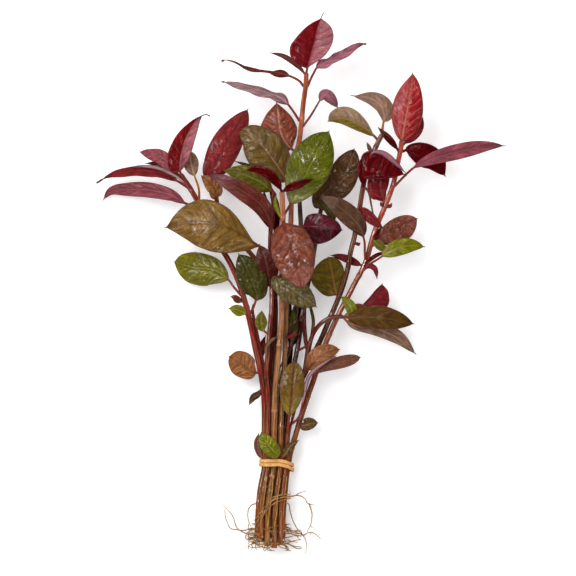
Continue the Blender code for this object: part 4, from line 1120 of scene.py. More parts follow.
LEAFLETS = (
    Leaflet("leaflet_top", "stem_top", 95.5, ((5.5, 98.8, 21.5), (1.5, 102.2, 21.5), (-3, 104.7, 20.5),
      (-8.5, 106, 18.5)), 1.3, 1.3, LeafKind.MAUVE_BROWN, "leaf_mauve", wave=0.1),
    Leaflet("leaflet_left_dark", "stem_left", 48.5, ((-50.5, 51.5, 15), (-54.5, 54.6, 15),
      (-59.5, 56.1, 14), (-64.6, 56.3, 12)), 1.6, 1.6, LeafKind.DARK_RED, "leaf_maroon", tone=0.4,
      warp=0.4),
    Leaflet("leaflet_left_strip", "stem_left", 46.5, ((-49, 49.3, 16.5), (-53, 51.7, 17), (-59, 54.2, 17),
      (-65, 54.9, 15), (-70, 54.6, 12.5)), 0.9, 0.9, LeafKind.GREY_MAUVE, "leaf_mauve", wave=0.1),
    Leaflet("leaflet_back_brown", "stem_left_back", 38.5, ((-32.8, 41, 13.5), (-32.8, 44.6, 14.6),
      (-35.6, 48, 15.2), (-39.4, 50.8, 15)), 3.6, 3.4, LeafKind.ORANGE, "leaf_red_brown", warp=0.4,
      stalk=0.14, point=0.7),
    Leaflet("leaflet_front_lime", "stem_front", 31.5, ((-4.6, 34.5, 28.6), (-5.8, 38.5, 29.6),
      (-5.2, 42.3, 30)), 1.1, 1.1, LeafKind.LIME, "leaf_green", wave=0.1, warp=0.2),
    Leaflet("leaflet_right_red", "stem_right_tall", 61.0, ((48.4, 63.5, 21.5), (46, 66.4, 22),
      (43.2, 69.4, 21.6), (40.4, 72.4, 20.5)), 1.6, 1.6, LeafKind.DARK_RED, "leaf_maroon"),
    Leaflet("leaflet_middle_dark", "stem_middle_right", 27.0, ((17.5, 29.2, 12), (19.8, 32.4, 16),
      (16, 37.2, 18), (11.2, 41, 18)), 1.9, 1.9, LeafKind.DARK_GREEN, "leaf_olive", tone=0.2),
    Leaflet("leaflet_right_green", "stem_right_tall", 22.0, ((39, 20.8, 17.6), (41.4, 18.9, 18.2),
      (45.2, 16, 17.6)), 2.1, 1.9, LeafKind.LEAF_GREEN, "leaf_green"),
    Leaflet("leaflet_right_wedge", "stem_right_tall", 9.5, ((36.5, 12.5, 17), (40, 15, 18.2),
      (45, 16.6, 18.6)), 0.8, 1.2, LeafKind.DARK_RED, "leaf_maroon", wave=0.1, warp=0.2),
    Leaflet("leaflet_behind_crimson", "stem_right_tall", 9.5, ((31, 11.2, 11.5), (27, 13, 10),
      (23, 14.3, 9.5), (19, 14.8, 9.5)), 1.9, 1.9, LeafKind.CRIMSON, "leaf_crimson", tone=0.8),
    Leaflet("leaflet_right_hook", "stem_right_tall", 8.0, ((36.5, 9.8, 16.6), (39.2, 8.4, 16.8),
      (40.2, 4, 15.5)), 1.4, 1.2, LeafKind.CRIMSON, "leaf_crimson"),
    Leaflet("leaflet_low_lime", "stem_low_right", -12.9, ((28.5, -11.6, 17.2), (28, -8.5, 17.6),
      (25.8, -5.6, 16.6), (23.6, -3.6, 15)), 2.4, 2.8, LeafKind.LIME, "leaf_green", tone=0.6),
    Leaflet("leaflet_low_orange", "stem_right_tall", -8.0, ((29, -9.4, 13), (32.5, -8.8, 13.6),
      (36.4, -9, 13)), 2.1, 2.1, LeafKind.ORANGE, "leaf_red_brown", tone=0.4),
    Leaflet("leaflet_brown_middle", "stem_inner_left", 0.0, ((-8.6, 4, 12.6), (-9.4, 8.5, 14.4),
      (-10.6, 13.5, 15), (-13, 20, 14)), 5.4, 5.2, LeafKind.DEEP_BROWN, "leaf_red_brown", tone=0.8,
      wave=0.4, warp=0.8, stalk=0.04),
    Leaflet("leaflet_dark_between", "stem_inner_right", -26.0, ((2, -22.6, 8.4), (2.4, -18, 8.9),
      (2.6, -13, 9.2), (2.5, -8, 9.6)), 2.3, 2.2, LeafKind.DARK_GREEN, "leaf_green", tone=0.1, wave=0.1,
      warp=0.2),
    Leaflet("leaflet_hood_back", "stem_right", 46.0, ((33.6, 49.6, 20.6), (33.2, 53, 21.2),
      (33.4, 56.5, 21.2), (35.2, 60.6, 20.6)), 2, 2.4, LeafKind.MAROON, "leaf_maroon", warp=0.2),
    Leaflet("leaflet_hood_rim", "stem_right", 53.5, ((37.6, 60.4, 22.8), (41.5, 61, 23.2),
      (45, 59.2, 23.6), (48.8, 55.8, 23.8), (53.1, 51.4, 23.6)), 1.3, 1.3, LeafKind.MAUVE, "leaf_mauve",
      wave=0.1, warp=0.2, stalk=0.3),
    Leaflet("leaflet_tall_under", "stem_right_tall", 64.0, ((53, 65.6, 20.2), (56.6, 68.6, 20),
      (59.5, 72.6, 20), (60.8, 77, 20.5)), 2.6, 2.2, LeafKind.CRIMSON, "leaf_crimson", tone=0.3, warp=0.2),
    Leaflet("leaflet_middle_olive", "stem_middle_right", 36.0, ((13.4, 37.4, 13.6), (15, 41, 14.6),
      (20, 45.5, 15), (27.5, 43.5, 14.8)), 4.6, 3, LeafKind.BRONZE, "leaf_brown", tone=0.3, warp=0.4,
      stalk=0.04),
    Leaflet("leaflet_front_crimson", "stem_inner_left", 26.0, ((-8.4, 30, 16.4), (-9.8, 34.5, 18),
      (-10.8, 39.5, 18.4), (-10.6, 44, 18)), 2.8, 2.8, LeafKind.DARK_RED, "leaf_maroon", warp=0.4),
    Leaflet("leaflet_back_olive", "stem_left_back", 45.0, ((-32.5, 48.6, 13.4), (-29, 48.6, 14.6),
      (-25.5, 47, 15), (-22.5, 45, 14.8)), 2.6, 2.2, LeafKind.OLIVE_GREEN, "leaf_olive"),
    Leaflet("leaflet_dark_sliver", "stem_inner_left", 43.0, ((-12, 51, 14), (-17, 54.6, 14.6),
      (-24.5, 57.4, 14)), 1.3, 1.3, LeafKind.DARK_GREEN, "leaf_green", tone=0.4, wave=0.1, warp=0.2),
    Leaflet("leaflet_red_stalk", "stem_right", 46.0, ((36.4, 43, 17.4), (37.5, 37.5, 17), (38.6, 32, 16.8),
      (39.2, 27, 16.4)), 0.9, 0.9, LeafKind.BROWN_STALK, "leaf_brown", wave=0.0, warp=0.1, stalk=0.9),
    Leaflet("leaflet_left_crimson", "stem_left", -37.0, ((-13.4, -33, 8.8), (-12.4, -29, 9.4),
      (-11.4, -24.6, 9.4), (-10, -21.2, 9)), 1.6, 1.9, LeafKind.DARK_RED, "leaf_maroon", tone=0.4,
      wave=0.1, warp=0.2),
    Strand("leaflet_left_strand", "stem_left", -42.0, ((-10.8, -37, 8.6), (-12.4, -29, 9.6),
      (-14.2, -20, 10.4), (-15.9, -11, 11.2), (-15.6, -7, 12)), 0.85, 0.85, LeafKind.RED_STALK,
      "stem_maroon"),
    Strand("leaflet_inner_strand", "stem_inner_left", -44.0, ((-8.6, -40, 8.2), (-7.4, -28, 8.1),
      (-6.2, -16, 8.1), (-5.5, -6, 8.3), (-5.3, 2, 9)), 0.95, 0.95, LeafKind.RED_STALK, "stem_maroon"),
    Strand("leaflet_middle_strand", "stem_inner_right", -48.0, ((-1.2, -44, 4.2), (0.4, -36, 4.2),
      (1.2, -28, 4.2), (1, -20, 4.2), (0.7, -12, 4.4), (0.8, -2, 5), (1.6, 8, 6)), 1.1, 1.1,
      LeafKind.DARK_STALK, "stem_brown"),
    Strand("leaflet_upper_strand", "stem_inner_right", -26.0, ((4.2, -22, 4.2), (5.2, -17, 4.2),
      (5.9, -11, 4.2), (6.2, -4, 4.4), (6.4, 2, 5)), 1.3, 1.3, LeafKind.DARK_STALK, "stem_brown"),
    Strand("leaflet_right_strand", "stem_low_right", -36.0, ((9, -30, 8.2), (8, -24, 7.2), (7.3, -16, 6.6),
      (7.5, -8, 6.6), (8.2, 0, 7)), 1, 1, LeafKind.RED_STALK, "stem_maroon"),
    Strand("leaflet_olive_strand", "stem_low_right", -33.0, ((9.8, -27, 10), (11, -20, 11),
      (11.4, -14.5, 11.4), (10.2, -9, 11.6), (8.4, -4, 11.4)), 0.8, 0.8, LeafKind.OLIVE_STALK,
      "stem_brown"),
    Leaflet("leaflet_middle_dark.001", "stem_inner_left", 22.0, ((-5.4, 26, 9.6), (-5.2, 32, 10.4),
      (-5.6, 38, 10.8), (-7.4, 43.5, 10.8), (-9.6, 47, 10.6)), 2.2, 1.7, LeafKind.DARK_RED, "leaf_maroon",
      wave=0.1, warp=0.2),
    Leaflet("leaflet_band_brown", "stem_left", -78.0, ((-12, -76.6, 6), (-13.3, -73.4, 6), (-14, -69.6, 6),
      (-13.2, -65.6, 6)), 1.7, 1.9, LeafKind.DUSKY, "leaf_brown", tone=0.4, wave=0.1, warp=0.2),
    Leaflet("leaflet_left_redbrown", "stem_left", -6.0, ((-22.4, -5.4, 12), (-24.2, -4.2, 12),
      (-26, -3.8, 11.5)), 1.7, 1.5, LeafKind.RED_BROWN, "leaf_red_brown"),
    Leaflet("leaflet_left_lime", "stem_left", -12.0, ((-20.6, -10.8, 11.6), (-23.6, -9.6, 12),
      (-26.8, -9.2, 11)), 2.7, 2.4, LeafKind.LIME, "leaf_green", tone=0.6),
    Leaflet("leaflet_inner_green", "stem_inner_left", -21.0, ((-11.4, -18.6, 12.4), (-12.3, -15, 12.6),
      (-11.8, -10, 12)), 2.6, 3, LeafKind.LEAF_GREEN, "leaf_green", tone=0.6, stalk=0.2),
    Leaflet("leaflet_left_low", "stem_left", -45.5, ((-13.6, -48, 8.5), (-15.8, -49.6, 8),
      (-17.6, -53, 6.5)), 1.6, 1.6, LeafKind.BROWN, "leaf_brown"),
    Leaflet("leaflet_right_low", "stem_right_tall", -61.0, ((7, -62.2, 8.4), (9.6, -61.4, 8.8),
      (13.6, -61, 7.6)), 3, 2.8, LeafKind.OLIVE, "leaf_olive", wave=0.3, point=0.6),
    Leaflet("leaflet_band_olive", "stem_top", -77.0, ((-0.9, -74.4, 11.8), (1.4, -71.2, 12.4),
      (4.9, -68.6, 11.6)), 1.9, 2, LeafKind.OLIVE, "leaf_olive"),
    Leaflet("leaflet_dark_bit", "stem_right_tall", 21.0, ((39.4, 23, 17), (41, 25, 16.8),
      (43.2, 27.4, 16)), 1.9, 1.7, LeafKind.DARK_RED, "leaf_maroon", tone=0.6, wave=0.1, warp=0.2),
    Leaflet("leaflet_inner_olive", "stem_inner_left", -31.0, ((-10, -28, 13), (-8.6, -24.6, 14.8),
      (-4.4, -21.4, 15.4)), 1.1, 1.1, LeafKind.OLIVE, "leaf_olive", wave=0.1, warp=0.2),
    Leaflet("leaflet_crimson_bit", "stem_top", -23.0, ((0.8, -22, 11.2), (2.8, -21.2, 11.6),
      (5, -21, 11.4)), 1, 1, LeafKind.CRIMSON, "leaf_crimson", wave=0.1, warp=0.2),
    Leaflet("leaflet_right_bud", "stem_right", 60.5, ((37, 62.2, 19.4), (36.3, 63.8, 20),
      (35.4, 65.6, 20)), 1, 0.9, LeafKind.OLIVE, "leaf_olive", wave=0.1, warp=0.1),
    Leaflet("leaflet_mauve_strip", "stem_low_right", -62.0, ((5, -58, 12.2), (7, -50, 13.4),
      (8.6, -42, 14.4), (11.4, -37.4, 16), (16, -34, 16.6), (22, -30.6, 15.8)), 1, 1, LeafKind.GREY_MAUVE,
      "leaf_mauve", twist=40.0, stalk=0.3),
    Leaflet("leaflet_red_strand", "stem_top", -21.0, ((3.2, -16.5, 10.4), (6, -13.4, 10.6),
      (8.2, -10.8, 10.2)), 0.35, 0.35, LeafKind.DARK_RED, "leaf_maroon", wave=0.0, warp=0.1, stalk=0.8),
    Leaflet("leaflet_dark_strand", "stem_middle_right", -28.0, ((9.6, -25, 8.6), (11.2, -19, 9),
      (11.4, -14, 9), (10, -9, 8.6)), 0.6, 0.6, LeafKind.OLIVE_BROWN, "leaf_olive", wave=0.0, warp=0.1,
      stalk=0.7),
    Leaflet("leaflet_bud_left", "stem_right_tall", 36.5, ((42.9, 36.9, 18.6), (42.2, 37.6, 18.8),
      (41.6, 38.8, 18.6)), 0.9, 0.9, LeafKind.CRIMSON, "leaf_crimson", tone=0.4, wave=0.0, warp=0.1),
    Leaflet("leaflet_bud_right", "stem_right_tall", 36.5, ((45.1, 36.6, 18.6), (46, 37, 18.8),
      (46.8, 38.2, 18.4)), 0.9, 0.9, LeafKind.CRIMSON, "leaf_crimson", tone=0.6, wave=0.0, warp=0.1),
    Leaflet("leaflet_bud_middle", "stem_right", 20.5, ((31, 20, 15.2), (31.8, 19.6, 15.6),
      (32.6, 20.6, 15.6)), 0.8, 0.8, LeafKind.CRIMSON, "leaf_crimson", wave=0.0, warp=0.1),
)

STEM_FINISHES = {
    "stem_left": StemFinish((136, 74, 32), (122, 38, 30), (116, 28, 24), (140, 56, 46)),
    "stem_left_back": StemFinish((124, 68, 28), (80, 34, 20), (150, 84, 44), (100, 40, 26)),
    "stem_inner_left": StemFinish((136, 74, 32), (112, 40, 28), (104, 26, 22), (140, 60, 46)),
    "stem_front": StemFinish((146, 90, 38), (148, 100, 58), (158, 94, 66), (206, 132, 104), nodes=0.45),
    "stem_top": StemFinish((134, 76, 30), (134, 92, 48), (166, 80, 44), (206, 120, 100), nodes=0.3),
    "stem_inner_right": StemFinish((128, 68, 30), (48, 16, 10), (44, 14, 10), (80, 30, 22)),
    "stem_middle_right": StemFinish((128, 68, 30), (52, 20, 12), (66, 28, 16), (40, 14, 8)),
    "stem_low_right": StemFinish((132, 70, 30), (100, 44, 30), (84, 26, 24), (120, 46, 38)),
    "stem_right": StemFinish((124, 68, 30), (80, 40, 20), (100, 52, 28), (50, 18, 12)),
    "stem_right_tall": StemFinish((136, 72, 30), (138, 68, 34), (158, 56, 34), (130, 40, 30)),
}

ROOTLETS = {
    "root_left": (
        ((-14.5, -111.6, 5), (-16.5, -112, 3), (-20, -110.8, 1.8), (-23, -109, 1.2), (-24, -107, 0.9),
         (-24.8, -104, 0.8), (-26, -102, 0.8), (-28, -99.8, 0.8), (-29.5, -98.5, 0.7)),
        ((-15, -109, 5), (-17, -109, 3), (-20, -109.8, 1.8), (-24, -109.3, 1.5), (-26, -109, 1),
         (-27.5, -106.5, 0.8), (-28.5, -103, 0.7), (-28.5, -100, 0.7)),
        ((-14.8, -97.6, 6), (-16.5, -98.5, 5), (-17.8, -100, 3.5), (-18.3, -103, 2), (-17.8, -106, 1.5),
         (-16.8, -108, 1.4)),
        ((-15, -113, 3), (-16.5, -113.5, 2), (-18.8, -114, 1), (-19.3, -112.5, 0.9), (-18.3, -110.5, 0.9)),
    ),
    "root_upper": (
        ((-1.5, -94.6, 10), (0.5, -94.3, 9.4), (3, -94, 6.5), (5, -93, 4), (8.3, -91.9, 1)),
        ((1.5, -94.2, 8), (3.5, -93.8, 6), (6, -94.3, 4), (8, -96, 2.5), (9, -97.8, 1.5),
         (12.5, -98.3, 0.8)),
        ((1, -94, 9.4), (-4, -95, 10.4), (-7, -96, 10.6), (-9, -99, 10.6), (-11, -101, 10.4),
         (-14, -105.5, 8.6), (-16, -107.5, 6)),
        ((1.2, -95, 8.8), (-3.5, -96.2, 10.4), (-6.8, -97.6, 10.6), (-9.6, -100.4, 10.5),
         (-12, -103.4, 9.8), (-14.6, -107, 7.4)),
        ((0.6, -93.2, 9.2), (-4.4, -93.8, 10.4), (-8, -95.2, 10.6), (-10, -98.2, 10.5),
         (-12.6, -101.6, 9.8), (-15.6, -105.6, 7)),
        ((-9.6, -85, 10.2), (-10.4, -92, 10.5), (-11.4, -100, 10.4), (-12.4, -108, 9.6), (-13, -113, 6)),
        ((-6.6, -84.5, 10.6), (-7.2, -92, 10.8), (-8.4, -101, 10.8), (-9.4, -109, 10.2), (-10, -114, 6)),
        ((-3.4, -86, 10.4), (-4.6, -94, 10.6), (-5.2, -102, 10.5), (-6.4, -110, 9.8), (-6.6, -115, 5)),
        ((-0.6, -85, 8.4), (-1.6, -95, 8.8), (-2.4, -104, 8.4), (-3.2, -111, 7), (-3.4, -116, 4)),
        ((-5.4, -94.8, 10.6), (-8.6, -97, 10.8), (-10.4, -100.8, 10.7), (-12, -104.8, 10),
         (-14.2, -109.4, 8)),
    ),
    "root_right": (
        ((-1, -97, 9), (0.5, -98, 7.5), (1, -101.5, 5.4), (2, -105, 3.6), (4, -109, 2.2),
         (6.5, -111.8, 1.2), (8, -114.5, 0.9), (8.4, -117.5, 0.8), (7.8, -120.6, 0.8)),
        ((9.4, -97.6, 1.4), (9.8, -98.5, 1.2), (10.8, -102, 0.8), (10.7, -105, 0.7), (9.7, -108.5, 0.7),
         (8.5, -110.5, 0.8)),
        ((-1.5, -109, 6), (0.2, -109.3, 4.5), (3, -110.5, 2.4), (6, -111.6, 1.2)),
        ((5.8, -111.8, 1.4), (7, -112, 1.2), (9, -111, 0.9), (11, -110.8, 0.8), (13, -112, 0.7),
         (15, -113.8, 0.7)),
    ),
    "root_mat": (
        ((-2, -113, 5), (0, -113, 3.6), (2.6, -112.4, 1.8), (5, -112.5, 1)),
        ((-2, -115.4, 4), (0, -115.5, 2.6), (3, -114.4, 1.4), (6, -114, 0.9)),
        ((-2, -115.8, 3), (0, -116, 2), (3, -117, 1), (6, -117.5, 0.8)),
        ((-16, -115, 1.2), (-13, -117, 0.9), (-8.5, -118, 0.8)),
        ((-11, -115.5, 3), (-4, -115, 3), (-1, -117, 1.6), (-0.5, -119, 0.8)),
    ),
}

SLOTS = {part["node"]: part["material_slot"] for part in frame["record"]["subparts"]}


def hand_over(piece: bpy.types.Object, node: str = "", slot: str = "") -> bpy.types.Object:
    """Tie a finished piece to the body, hide the frame's part for its node, and report it.

    Args:
        piece: the piece.
        node: the frame's node that it stands for, or nothing for a piece beside the nodes.
        slot: its material slot, or nothing for its node's own; not used.

    Returns:
        The piece.
    """
    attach(piece, BODY)
    if node:
        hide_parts(node)
    slot or SLOTS[node]
    log.info("%s: %d faces", piece.name, len(piece.data.polygons))
    return piece


@dataclass
class Bundle:
    """The ten stems, from their cut ends through the band to their tips."""

    centre_x: float = -5.0
    spread: float = 1.07
    taper: float = 0.16
    node_spacing: tuple[float, ...] = (30.0, 35.0, 40.0)
    node_shift: float = 0.481
    path_points: int = 160
    ends_level: float = -110.0
    ends: tuple[float, ...] = (1.5, -1.0, 0.6, -2.6, -3.6, 1.0, -1.8, -2.2, 0.4, 1.2)

    def route(self, stem: Stem) -> tuple[Point, ...]:
        """Work out a stem's whole route: through the tied bundle in its slot, then up its own way.

        Args:
            stem: the stem.

        Returns:
            Its points, in plan millimetres.
        """
        slot_x, slot_z = stem.slot
        off_centre = slot_x - self.centre_x
        bundle = []
        for y, lean in BUNDLE_LEAN.items():
            spread = 1.0 if y == BAND_Y else self.spread
            bundle.append((self.centre_x + lean + off_centre * spread, y, slot_z))
        return (*bundle, *stem.route)

    def build(self) -> list[bpy.types.Object]:
        """Grow and dress every stem.

        Returns:
            The pieces.
        """
        growth = StemGrowth()
        pieces = []
        for index, stem in enumerate(STEMS):
            end = self.ends[index]
            route = [(x, y + end if y < self.ends_level else y, z) for x, y, z in self.route(stem)]
            path = world_route(route, self.path_points)
            spacing = self.node_spacing[index % len(self.node_spacing)]
            piece = growth.grow("skin_" + stem.name, [path], {
                "Radius": stem.diameter / 2 * MM, "Taper": self.taper, "Node Spacing": spacing * MM,
                "First Node": self.node_shift * index % 1.0,
                "Finish": STEM_FINISHES[stem.name].material("finish_" + stem.name),
            })
            pieces.append(hand_over(piece, stem.name))
        return pieces


@dataclass
class Foliage:
    """The leaves, each on the node of its stem."""

    bundle: Bundle
    steps_along: int = 73
    steps_across: int = 27
    stem_points: int = 200
    midrib_points: int = 120
    inside_stem: float = 0.5
    phase_step: float = 1.7
    first_leaflet: int = 50
    growth: LeafGrowth = field(default_factory=LeafGrowth)
    finishes: dict[LeafKind, bpy.types.Material] = field(default_factory=dict)

    def route(self, leaf: Leaf) -> list[Vector]:
        """Work out a leaf's midrib, from inside its stem to its tip.

        Args:
            leaf: the leaf.

        Returns:
            The midrib's points, in metres.
        """
        stem = next(stem for stem in STEMS if stem.name == leaf.stem)
        dense = smooth_route(self.bundle.route(stem), self.stem_points)
        index = int(np.argmin(np.abs(dense[:, 1] - leaf.node_y)))
        centre = dense[index]
        towards = np.array(leaf.route[0]) - centre
        if index < len(dense) - 2:
            axis = dense[index + 1] - dense[index - 1]
            axis /= np.linalg.norm(axis)
            towards -= axis * towards.dot(axis)
            share = self.inside_stem
        else:
            share = -self.inside_stem
        towards /= np.linalg.norm(towards)
        start = centre + towards * (stem.diameter / 2 * share)
        return world_route((tuple(start), *leaf.route), self.midrib_points)

    def finish(self, kind: LeafKind) -> bpy.types.Material:
        """Make the material of a kind of leaf, once.

        Args:
            kind: the kind.

        Returns:
            The material.
        """
        if kind not in self.finishes:
            self.finishes[kind] = kind.value.material("leaf_" + kind.name.lower())
        return self.finishes[kind]

    def grow(self, leaf: Leaf, index: int) -> bpy.types.Object:
        """Grow and dress one leaf.

        Args:
            leaf: its shape and finish.
            index: its number, which sets how its margin waves.

        Returns:
            The piece.
        """
        return self.growth.grow("skin_" + leaf.name, [self.route(leaf)], {
            "Steps Along": self.steps_along, "Steps Across": self.steps_across,
            "Left": leaf.left * MM, "Right": leaf.right * MM, "Stalk": leaf.stalk, "Tail": leaf.tail,
            "Fold": math.radians(leaf.fold), "Curl": math.radians(leaf.curl),
            "Roll": math.radians(leaf.roll), "Twist": math.radians(leaf.twist),
            "Widest Left": leaf.peak, "Widest Right": leaf.peak_right or leaf.peak,
            "Point Left": leaf.point, "Point Right": leaf.point_right or leaf.point,
            "Wave": leaf.wave * MM, "Waves": leaf.waves, "Phase": index * self.phase_step,
            "Veins": leaf.veins, "Quilt": leaf.quilt * MM, "Warp": leaf.warp * MM, "Tone": leaf.tone,
            "Finish": self.finish(leaf.kind),
        })

    def build(self) -> list[bpy.types.Object]:
        """Grow every leaf that stands for a node of the frame, and the small ones between them.

        Returns:
            The pieces.
        """
        pieces = []
        for index, leaf in enumerate(LEAVES):
            pieces.append(hand_over(self.grow(leaf, index), leaf.name))
        for index, leaf in enumerate(LEAFLETS, self.first_leaflet):
            pieces.append(hand_over(self.grow(leaf, index), slot=leaf.slot))
        return pieces


class BandGrowth(Growth):
    """Grows a flat strand of rubber along a loop, its broad side outwards."""

    def __init__(self) -> None:
        """Write the tree."""
        super().__init__("band_growth", {
            "Width": 1.5 * MM, "Depth": 0.9 * MM, "Round": 0.42 * MM, "Finish": None,
        })
        sockets = {"Curve": self.path(), "Normal": self.vector(0.0, 1.0, 0.0)}
        rail = self.add("GeometryNodeSetCurveNormal", {"mode": "FREE"}, sockets)
        sockets = {"Width": self.given("Width"), "Height": self.given("Depth")}
        section = self.add("GeometryNodeCurvePrimitiveQuadrilateral", None, sockets)
        sockets = {"Curve": section, "Radius": self.given("Round"), "Limit Radius": True, "Count": 3}
        section = self.add("GeometryNodeFilletCurve", {"mode": "POLY"}, sockets)
        sockets = {"Curve": rail, "Profile Curve": section, "Fill Caps": False}
        self.close(self.add("GeometryNodeCurveToMesh", None, sockets))


@dataclass
class RubberBand:
    """Two turns of one rubber band, which cross as they go round the bundle."""

    gap: float = 0.25
    depth: float = 1.05
    width: float = 1.65
    second_turn_gap: float = 0.1
    back_level: float = 4.0
    side_height: float = 3.0
    turns: tuple[tuple[tuple[float, float], ...], ...] = (
        ((-13.0, -78.3), (-8.0, -78.1), (-4.0, -78.0), (-1.0, -78.6), (2.8, -80.3)),
        ((-13.0, -79.9), (-8.0, -79.9), (-4.0, -79.7), (0.0, -80.7), (3.0, -82.6)),
    )
    steps: int = 160

    def loop(self, front: tuple[tuple[float, float], ...], proud: float) -> list[Vector]:
        """Return one turn, tight round the stem that is furthest out in each direction.

        Args:
            front: the turn's x and y as it crosses the front; it goes straight across the back.
            proud: how far it stands off the bundle.

        Returns:
            The closed path.
        """
        outline = []
        for step in range(self.steps):
            angle = 2 * math.pi * step / self.steps
            outward = Vector((math.cos(angle), math.sin(angle)))
            furthest = max(STEMS, key=lambda stem: Vector(stem.slot).dot(outward) + stem.diameter / 2)
            outline.append(Vector(furthest.slot) + outward * (furthest.diameter / 2 + self.gap + proud))
        ring = np.array([tuple(point) for point in (*outline, outline[0])])
        lengths = np.concatenate([[0.0], np.cumsum(np.linalg.norm(np.diff(ring, axis=0), axis=1))])
        wanted = np.linspace(0.0, lengths[-1], self.steps, endpoint=False)
        xs, zs = (np.interp(wanted, lengths, ring[:, axis]) for axis in (0, 1))
        front_x, front_y = zip(*front)
        points = []
        for x, z in zip(xs, zs):
            across = (x - front_x[0]) / (front_x[-1] - front_x[0])
            back = front_y[0] + (front_y[-1] - front_y[0]) * across
            share = min(1.0, max(0.0, (z - self.back_level) / self.side_height))
            points.append(in_world((x, back + (np.interp(x, front_x, front_y) - back) * share, z)))
        return points

    def finish(self) -> bpy.types.Material:
        """Make the rubber: ochre in two tones, with a fine grain and a dull gloss.

        Returns:
            The material.
        """
        paint = Paint("rubber", Coat_Roughness=0.3, Specular_IOR_Level=0.45)
        patches = paint.noise(2.5, 3.0)
        grain = paint.noise(0.35, 2.0)
        colour = paint.blend(patches, (196, 138, 68), (220, 164, 92))
        colour = paint.blend(grain.step(0.55, 0.0) * 0.35, colour, (150, 96, 40))
        return paint.finish(colour, patches.between(0.4, 0.55), grain * 0.05, patches.between(0.1, 0.3))

    def build(self) -> bpy.types.Object:
        """Grow and dress the band.

        Returns:
            The piece.
        """
        paths = []
        for index, front in enumerate(self.turns):
            paths.append(self.loop(front, self.depth / 2 + self.second_turn_gap * index))
        values = {"Width": self.width * MM, "Depth": self.depth * MM, "Finish": self.finish()}
        piece = BandGrowth().grow("skin_rubber_band", paths, values, loop=True)
        return hand_over(piece, "rubber_band")


class RootGrowth(Growth):
    """Grows wandering rootlets along paths, with hairs that branch off them."""

    SIDES = 7
    HAIR_SIDES = 4

    def __init__(self) -> None:
        """Write the tree."""
        super().__init__("root_growth", {
            "Radius": 0.3 * MM, "Wander": 0.8 * MM, "Hairs": 0.3, "Hair Length": 4.0 * MM,
            "Hair Radius": 0.11 * MM, "Seed": 1, "Finish": None,
        })
        sockets = {"Curve": self.path(), "Length": 0.7 * MM}
        rail = self.add("GeometryNodeResampleCurve", {"mode": "LENGTH"}, sockets)
        factor = self.add("GeometryNodeSplineParameter").out("Factor")
        rail = self.keep(rail, "reach", factor)
        place = Arrow(self, self.add("GeometryNodeInputPosition").node)
        drift = self.add("ShaderNodeTexNoise", None, {"Scale": 190.0, "Detail": 2.0})
        drift = Arrow(self, drift.node, "Color") - self.vector(0.5, 0.5, 0.5)
        sway = self.given("Wander") * 2 * self.kept("reach").step(0.0, 0.15)
        rail = self.moved(rail, place + drift * sway)
        radius = self.given("Radius") * (1 - self.kept("reach") * 0.55)
        self.close(self.joined(self.tube(rail, radius, self.SIDES), self.hairs(rail)))

    def tube(self, rail: Field, radius: Field, sides: int) -> Field:
        """Sweep a closed round tube along a curve.

        Args:
            rail: the curve.
            radius: the tube's radius.
            sides: how many sides it has.

        Returns:
            The tube.
        """
        ring = self.add("GeometryNodeCurvePrimitiveCircle", None, {"Resolution": sides, "Radius": 1.0})
        sockets = {"Curve": rail, "Profile Curve": ring, "Scale": radius, "Fill Caps": True}
        return self.add("GeometryNodeCurveToMesh", None, sockets)

    def hairs(self, rail: Field) -> Field:
        """Grow fine curved hairs that stand off a rootlet at random.

        Args:
            rail: the rootlet's curve.

        Returns:
            The hairs.
        """
        settings = {"data_type": "FLOAT"}
        seed = self.given("Seed")
        chance = self.add("FunctionNodeRandomValue", settings, {"Seed": seed}, 1)
        chosen = self.add("FunctionNodeCompare", {"data_type": "FLOAT", "operation": "LESS_THAN"},
                          {0: chance, 1: self.given("Hairs")})
        hair = self.add("GeometryNodeCurvePrimitiveBezierSegment", None, {
            "Resolution": 8, "Start": (0.0, 0.0, 0.0), "Start Handle": (0.1, 0.0, 0.35),
            "End Handle": (0.2, 0.3, 0.6), "End": (0.5, 0.35, 0.85)})
        turn = self.add("FunctionNodeRandomValue", {"data_type": "FLOAT_VECTOR"},
                        {0: (-1.3, -1.3, -3.1), 1: (1.3, 1.3, 3.1), "Seed": seed})
        size = self.add("FunctionNodeRandomValue", settings, {2: 0.4, 3: 1.0, "Seed": seed + 1}, 1)
        size = size * self.given("Hair Length")
        sockets = {"Points": rail, "Selection": chosen, "Instance": hair, "Rotation": turn}
        stood = self.add("GeometryNodeInstanceOnPoints", None, sockets)
        self.tree.links.new(self.vector(size, size, size).socket, stood.node.inputs["Scale"])
        loose = self.add("GeometryNodeRealizeInstances", None, {"Geometry": stood})
        return self.tube(loose, self.given("Hair Radius"), self.HAIR_SIDES)


